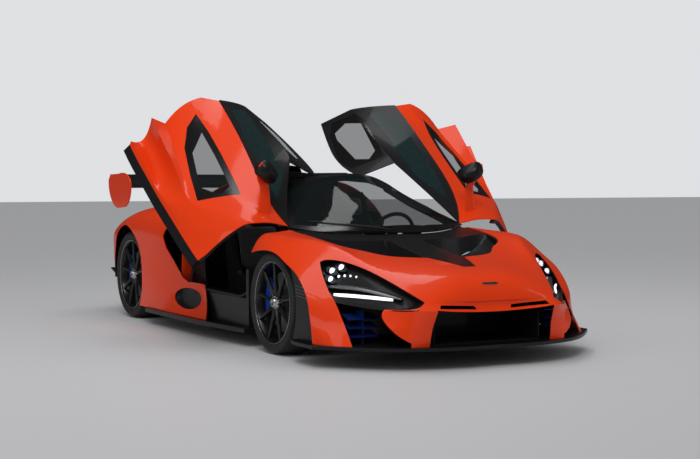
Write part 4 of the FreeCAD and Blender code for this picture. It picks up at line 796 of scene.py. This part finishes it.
# Door mirrors
# Each mirror is a bulky dark shell with a flat glass at its back, on a painted fin from the door's shoulder.
# The shell is a superellipsoid that narrows to its nose; the fin is a thin blade, wide at its foot.
mirror_centre = np.array([0.889, 0.529, 0.949])
mirror_reach = np.array([0.093575, 0.054175, 0.062055])
mirror_power = 2.8
nose_power = 2.2
back_share = 0.92
back_draw = 0.12
glass_steps = ((0.0, 0.052), (0.0015, 0.050), (0.0015, 0.0005))
glass_stretch = np.array([1.55, 1.0, 0.95])
glass_back = np.array([0.0, 0.053, 0.0])
fin_path = [(0.762, 0.404, 0.728), (0.800, 0.462, 0.805), (0.842, 0.520, 0.872), (0.905, 0.545, 0.900),
            (0.962, 0.552, 0.938), (0.984, 0.554, 0.975)]
fin_half_widths = (0.052, 0.040, 0.032, 0.026, 0.018, 0.006)
fin_half_thickness = 0.0065
fin_upward = (-0.75, -0.25, 0.60)


def shell_points(count_round, count_long):
    """A unit superellipsoid along -y: rings grow fast from the nose and draw in a little at a flat back."""
    section = rounded_section(count_round, mirror_power)[None, :, :]
    share = np.linspace(0.0, 1.0, count_long)[:, None]
    nose = (1 - (1 - share / back_share).clip(0, 1) ** nose_power) ** (1 / nose_power)
    back = 1 - back_draw * (share - back_share) / (1 - back_share)
    size = np.where(share < back_share, nose, 1.0) * np.where(share > back_share, back, 1.0)
    x = section[..., 0] * size
    return np.stack([x, np.broadcast_to(-1 + 2 * share, x.shape), section[..., 1] * size], -1)


mirror_glass = speckled("mirror_glass", (0.55, 0.57, 0.6), (0.6, 0.62, 0.65), 30.0, 0.03, 1.0)
shell = shell_points(48, 30) * mirror_reach + mirror_centre
pane = np.swapaxes(facing_grid(glass_steps, 40, (0.0, 0.0, 0.0), (0.0, 1.0, 0.0)), 0, 1)
pane = pane * glass_stretch + mirror_centre + glass_back
along_fin = np.linspace(0, len(fin_half_widths) - 1, 30)
widths = np.interp(along_fin, range(len(fin_half_widths)), fin_half_widths)
fin = bar_points(smooth_path(fin_path, 30), fin_half_thickness, widths, power=2.4, count=24, up=fin_upward)
for side, sign in sides:
    body = "door_" + side
    name = "door_mirror_" + side
    housing = closed_piece(name + "_housing", [opened(shell, sign)], carbon, body, "carbon")
    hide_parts("door_mirror_" + side)
    closed_piece(name + "_glass", [opened(pane, sign)], mirror_glass, body, "glass")
    closed_piece(name + "_fin", [opened(fin, sign)], paint, body, "paint")


# Roof glass bands
# A long smoked pane lies in each door's roof between the painted side and the spine, flush with the carbon.
# Its edges are chosen in plan on the shut door and dropped onto the roof's own surface.
band_outer = [(0.656, 0.510), (0.665, 0.681), (0.650, 0.852), (0.617, 1.100), (0.577, 1.351), (0.557, 1.480)]
band_inner = [(0.520, 0.745), (0.504, 0.876), (0.484, 1.007), (0.450, 1.204), (0.407, 1.426), (0.385, 1.545)]
band_lift = 0.0012
band_sink = 0.0010
above_roof = 2.0


def shut(corners):
    """Carries corners of the raised left door to their places on the shut car."""
    return (corners - hinge_place) @ np.array(door_turn) + hinge_place


def band_rings(tree):
    """Closed rings across the band: the roof's height at each plan point, once above and once below it."""
    outer = smooth_path([(x, y, 0.0) for x, y in band_outer], 40)
    inner = smooth_path([(x, y, 0.0) for x, y in band_inner], 40)
    rings = []
    for a, b in zip(outer, inner):
        plan = np.array([a + (b - a) * t for t in np.linspace(0, 1, 14)])
        starts = [Vector((x, y, above_roof)) for x, y, z in car_points(plan)]
        heights = np.array([tree.ray_cast(start, Vector((0.0, 0.0, -1.0)))[0].z for start in starts])
        upper = np.column_stack([plan[:, :2], heights + band_lift])
        lower = np.column_stack([plan[:, :2], heights - band_sink])
        rings.append(np.concatenate([upper, lower[::-1]]))
    return np.array(rings)


smoked = speckled("smoked_glass", (0.010, 0.020, 0.021), (0.014, 0.027, 0.028), 40.0, 0.06, 0.0, 0.08)
band = band_rings(surface_tree("door_roof_left", shut))
for side, sign in sides:
    closed_piece("door_roof_%s_band" % side, [opened(band, sign)], smoked, "door_" + side, "glass")


# Side ducts and rear posts
# An oval duct opens in each flank of the rear shell. Inside it is a shallow black trough behind the skin.
# Ahead of it a narrow painted post panel closes the gap between the tub's back wall and the intake.
duct_middle = (0.0, 1.4418, 0.245)
duct_reach = (0.2325, 0.075)
duct_back = 0.8835
duct_floor = 0.8855
rim_scale = 1.06
rim_gap = 0.001
probe_share = 0.95
# A step is the trough's x at its deepest there, the share of the way in to it, and the oval's scale.
duct_steps = ((duct_back, 1.0, 0.30), (duct_back, 1.0, 1.0), (duct_back, 0.0, rim_scale),
              (duct_floor, 0.0, 1.02), (duct_floor, 0.5, 1.01), (duct_floor, 1.0, 0.96),
              (duct_floor, 1.0, 0.30))
post_low = np.array([0.846, 1.626, 0.345])
post_high = np.array([0.836, 1.634, 0.600])
post_half_width = 0.042
post_half_thickness = 0.006


def duct_oval(scale):
    """The duct's outline in side view at a scale, as y and z round an oval angle."""
    angle = np.linspace(0, 2 * np.pi, 72, endpoint=False)
    middle = car_points(duct_middle)
    y = middle[1] + duct_reach[0] * scale * np.cos(angle)
    z = middle[2] + duct_reach[1] * scale * np.sin(angle)
    return y, z


def inner_skin(node, sign, y, z):
    """Where a line drawn out along x at (y, z) meets the inner face of a side panel."""
    tree = surface_tree(node)
    start = duct_back * probe_share * sign
    places = [tree.ray_cast(Vector((start, b, c)), Vector((sign, 0.0, 0.0)))[0] for b, c in zip(y, z)]
    return np.array([abs(place.x) for place in places])


def duct_rings(sign):
    """Rings of the trough from the back of its floor, out to its rim and back in: x against oval angle."""
    rim_x = inner_skin("rear_clamshell", sign, *duct_oval(rim_scale)) - rim_gap
    rings = []
    for deepest, share, scale in duct_steps:
        y, z = duct_oval(scale)
        rings.append(np.stack([(rim_x + (deepest - rim_x) * share) * sign, y, z], -1))
    return np.array(rings)


post = np.linspace(post_low, post_high, 24)
post_panel = bar_points(car_points(post), post_half_thickness, post_half_width, power=3.0, count=24,
                        up=(1.0, 0.0, 0.0), taper=0.2)
for side, sign in sides:
    closed_piece("side_duct_" + side, [duct_rings(sign)], cabin, "car", "carbon")
    closed_piece("rear_post_panel_" + side, [on_side(post_panel, sign)], paint, "car", "paint")


# Seat pads
# Each carbon seat shell carries a seat pad, a back pad and a head pad in black suede with sewn channels.
# A pad is a superellipse carried along the seat's line. Its sides pull in, and channels press into its face.
seat_origin = (0.0, 0.849, 0.155)
suede_finish = {"Roughness": 0.85, "Sheen Weight": 0.4}
suede_dark = (0.008, 0.009, 0.011, 1.0)
suede_light = (0.024, 0.026, 0.030, 1.0)
suede_bump_strength = 0.25
suede_bump_height = 0.001
# A pad is its line as (y, z) from the seat's origin, its half width, its half thickness and its channels.
pads = {"base": ([(0.075, 0.212), (0.190, 0.186), (0.300, 0.166), (0.385, 0.174)], 0.162, 0.020, 5),
        "back": ([(0.448, 0.300), (0.478, 0.400), (0.512, 0.515), (0.540, 0.600)], 0.158, 0.019, 6),
        "head": ([(0.568, 0.680), (0.585, 0.745), (0.612, 0.800)], 0.120, 0.024, 0)}
pad_crown = 0.35
side_pull = 0.05
end_width = 0.75
channel_depth = 0.9
channel_start = 0.90
edge_thickness = 0.0004


def pad_points(line, half_width, half_thickness, channels):
    """Rounded pad along a (y, z) line: width pulls in between the corners, channels are cosine grooves."""
    path = smooth_path([(0.0, y, z) for y, z in line], 70) + np.array(seat_origin)
    along = unit(np.gradient(path, axis=0))
    share = np.linspace(-1, 1, len(path))
    close = (1 - np.abs(share) ** 10) ** 0.5
    corners = end_width + (1 - end_width) * (1 - np.abs(share) ** 8) ** 0.5
    width = half_width * (1 - side_pull * (1 - share ** 2)) * corners
    wave = np.cos(np.pi * (share + 1) * channels)
    groove = 1 - channel_depth * np.clip(wave - channel_start, 0, 1) if channels else 1.0
    across = np.tile([1.0, 0.0, 0.0], (len(path), 1))
    section = rounded_section(60, 3.2)
    section[:, 1] *= 1 + pad_crown * (1 - np.abs(section[:, 0]) ** 2)
    thickness = half_thickness * close * groove + edge_thickness
    return swept_points(path, across, np.cross(across, along), width, thickness, section)


suede, suede_tree, suede_shader = new_material("black_suede", suede_finish)
nap = noise(suede_tree, 700.0, 4.0)
nap_colour = colour_between(suede_tree, nap, suede_dark, suede_light)
suede_tree.links.new(nap_colour, suede_shader.inputs["Base Color"])
suede_bump = suede_tree.nodes.new("ShaderNodeBump")
suede_bump.inputs["Strength"].default_value = suede_bump_strength
suede_bump.inputs["Distance"].default_value = suede_bump_height
suede_tree.links.new(nap, suede_bump.inputs["Height"])
suede_tree.links.new(suede_bump.outputs["Normal"], suede_shader.inputs["Normal"])
for side, sign in sides:
    low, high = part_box("seat_" + side)
    middle = np.array([(low.x + high.x) / 2, 0.0, 0.0])
    for part, sizes in pads.items():
        tube = car_points(pad_points(*sizes)) + middle
        pad = closed_piece("seat_%s_%s_pad" % (side, part), [tube], suede, "car", "cabin")


# Wiper
# One arm lies along the foot of the windscreen from a pivot at the middle of the cowl.
# It is a flat tapering bar, and a rubber blade lies beside it on the glass.
arm_path = [(-0.02, 0.060, 0.770), (-0.12, 0.080, 0.785), (-0.30, 0.120, 0.802), (-0.46, 0.175, 0.816)]
blade_path = [(0.04, 0.098, 0.787), (-0.18, 0.108, 0.794), (-0.40, 0.160, 0.812), (-0.56, 0.222, 0.828)]
arm_reach = (0.009, 0.005)
blade_reach = (0.004, 0.008)
wiper_black = speckled("wiper_black", (0.006, 0.006, 0.006), (0.014, 0.014, 0.014), 300.0, 0.45, 0.2)
arm_line = smooth_path(car_points(arm_path), 30)
blade_line = smooth_path(car_points(blade_path), 40)
arm = bar_points(arm_line, *arm_reach, power=3.0, up=screen_facing, taper=0.4)
blade = bar_points(blade_line, *blade_reach, power=3.0, up=screen_facing, taper=0.5)
closed_piece("wiper", [arm, blade], wiper_black, "car", "metal")


# Dashboard screens
# A framed display stands at the middle of the dashboard and a narrow one behind the steering wheel.
# Each is a rounded slab with a bright thin frame and a dark glossy face.
displays = {"middle": ((0.0, 0.360, 0.715), (0.062, 0.052)),
            "driver": ((0.360, 0.420, 0.720), (0.075, 0.022))}
# A step is its y from the display's place and its share of the display's reach.
frame_steps = ((0.012, 0.94), (0.012, 1.0), (-0.004, 1.0), (-0.006, 0.975), (-0.006, 0.94))
face_steps = ((-0.0062, 0.94), (-0.0080, 0.92), (-0.0080, 0.5))
display_dark = speckled("display_dark", (0.006, 0.007, 0.010), (0.010, 0.012, 0.016), 40.0, 0.08)
display_frame = speckled("display_frame", (0.25, 0.25, 0.26), (0.38, 0.38, 0.39), 240.0, 0.25, 0.9)
display_parts = (("frame", frame_steps, display_frame, "metal"), ("face", face_steps, display_dark, "glass"))


def slab_rings(place, reach, steps):
    """Rings of one rounded outline, each at its own depth and scale."""
    section = rounded_section(64, 7.0) * np.array(reach)
    rings = [np.stack([section[:, 0] * scale, np.full(len(section), depth), section[:, 1] * scale], -1)
             for depth, scale in steps]
    return car_points(np.array(rings) + np.array(place))


for name, (place, reach) in displays.items():
    for part, steps, material, slot in display_parts:
        slab = slab_rings(place, reach, steps)
        closed_piece("display_%s_%s" % (name, part), [slab], material, "car", slot)


# Door seals
# A hollow rubber seal lines each door opening: along the sill, up behind the seat and up ahead of it.
# It is one round tube, pressed onto the tub's flange, and clears the shut door.
seal_path = [(0.640, 1.600, 0.860), (0.705, 1.600, 0.740), (0.745, 1.600, 0.610), (0.792, 1.592, 0.470),
             (0.846, 1.540, 0.365), (0.870, 1.400, 0.332), (0.874, 1.050, 0.328), (0.874, 0.760, 0.326),
             (0.870, 0.560, 0.330), (0.840, 0.470, 0.400), (0.790, 0.440, 0.500)]
seal_radius = 0.010


def both_sides(name, tubes, material, slot):
    """A piece of the left side and its mirror image, both on the car."""
    for side, sign in sides:
        closed_piece(name + side, [on_side(tube, sign) for tube in tubes], material, "car", slot)


seal_rubber = speckled("seal_rubber", (0.006, 0.006, 0.006), (0.014, 0.014, 0.014), 400.0, 0.55)
seal_line = smooth_path(car_points(seal_path), 120)
seal = bar_points(seal_line, seal_radius, seal_radius, power=2.0, count=14, up=(1.0, 0.0, 0.02))
both_sides("door_seal_", [seal], seal_rubber, "tyre")


# Arch vent louvres
# Four thin slats lie across the dark panel behind each lamp, where air leaves the wheel arch.
# Each is a flat satin bar on the panel's outer face.
louvre_heights = (0.392, 0.412, 0.432, 0.452)
louvre_front = -0.525
louvre_front_lean = 0.4
louvre_rear = -0.385
louvre_rear_lean = 0.2
louvre_rise = 0.010
louvre_side = 0.934
louvre_reach = (0.0025, 0.0022)
slats = []
for height in louvre_heights:
    above = height - louvre_heights[0]
    front = (louvre_side, louvre_front + above * louvre_front_lean, height)
    rear = (louvre_side, louvre_rear + above * louvre_rear_lean, height + louvre_rise)
    slats.append(bar_points(car_points(np.linspace(front, rear, 12)), *louvre_reach, count=12))
both_sides("arch_vent_louvres_", slats, shelf_grey, "metal")


# Nose badge
# A small bare oval plate sits on the nose where a badge would be.
# It is turned metal, bonded to the paint.
badge_path = [(-0.056, -1.0820, 0.488), (0.0, -1.0824, 0.488), (0.056, -1.0820, 0.488)]
badge_reach = (0.0020, 0.0095)
badge_upward = (0.0, 0.70, 0.71)
badge = bar_points(smooth_path(car_points(badge_path), 24), *badge_reach, power=2.6, count=20,
                   up=badge_upward, taper=0.35)
closed_piece("nose_plate", [badge], turned_metal, "car", "metal")


# Tail lamps
# Two thin red light bars run under the tail's upper edge.
# Each is a strip of clear red plastic, let into the tail panel.
tail_red = speckled("tail_lamp_red", (0.30, 0.004, 0.004), (0.45, 0.008, 0.006), 250.0, 0.15)
joined_copy("tail_lamps", "_red", tail_red, "lamp")


# Tail mesh and exhaust beads
# A diamond mesh of thin wire covers the tail panel's middle, and each exhaust pipe ends in a rolled bead.
# A wire is a straight line at 45 degrees, cut where it leaves the mesh's rectangle.
mesh_half_width = 0.440
mesh_low = 0.330
mesh_high = 0.560
mesh_pitch = 0.030
wire_radius = 0.0016
# A step is its height past the pipe's end and its radius past the pipe's.
bead_steps = ((-0.004, -0.0045), (-0.0035, 0.0012), (-0.001, 0.0012), (-0.0002, -0.002), (-0.001, -0.0055))
bead_turns = 64


def diamond_wires(y):
    """Lines x - z = c and x + z = c across the rectangle, at an even pitch, as pairs of end points."""
    height = mesh_high - mesh_low
    wires = []
    for c in np.arange(-mesh_half_width - height, mesh_half_width, mesh_pitch):
        low = max(0.0, -mesh_half_width - c)
        high = min(height, mesh_half_width - c)
        if high - low > 2 * wire_radius:
            for sign in (1.0, -1.0):
                wires.append([(sign * (c + rise), y, mesh_low + rise) for rise in (low, high)])
    return wires


panel_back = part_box("rear_panel")[1].y
wires = [bar_points(np.linspace(a, b, 4), wire_radius, wire_radius, power=2.0, count=6, up=(0.0, 1.0, 0.0))
         for a, b in diamond_wires(panel_back + wire_radius)]
closed_piece("tail_mesh", wires, cabin, "car", "metal")
pipes_low, pipes_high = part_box("exhausts")
pipe_radius = (pipes_high.z - pipes_low.z) / 2
bead_profile = [(height, pipe_radius + past) for height, past in bead_steps]
for side, sign in sides:
    place = (sign * (pipes_high.x - pipe_radius), pipes_high.y, (pipes_low.z + pipes_high.z) / 2)
    bead = facing_grid(bead_profile, bead_turns, place, (0.0, 1.0, 0.0))
    grid_piece("exhaust_bead_" + side, bead, turned_metal, "car", "steel")
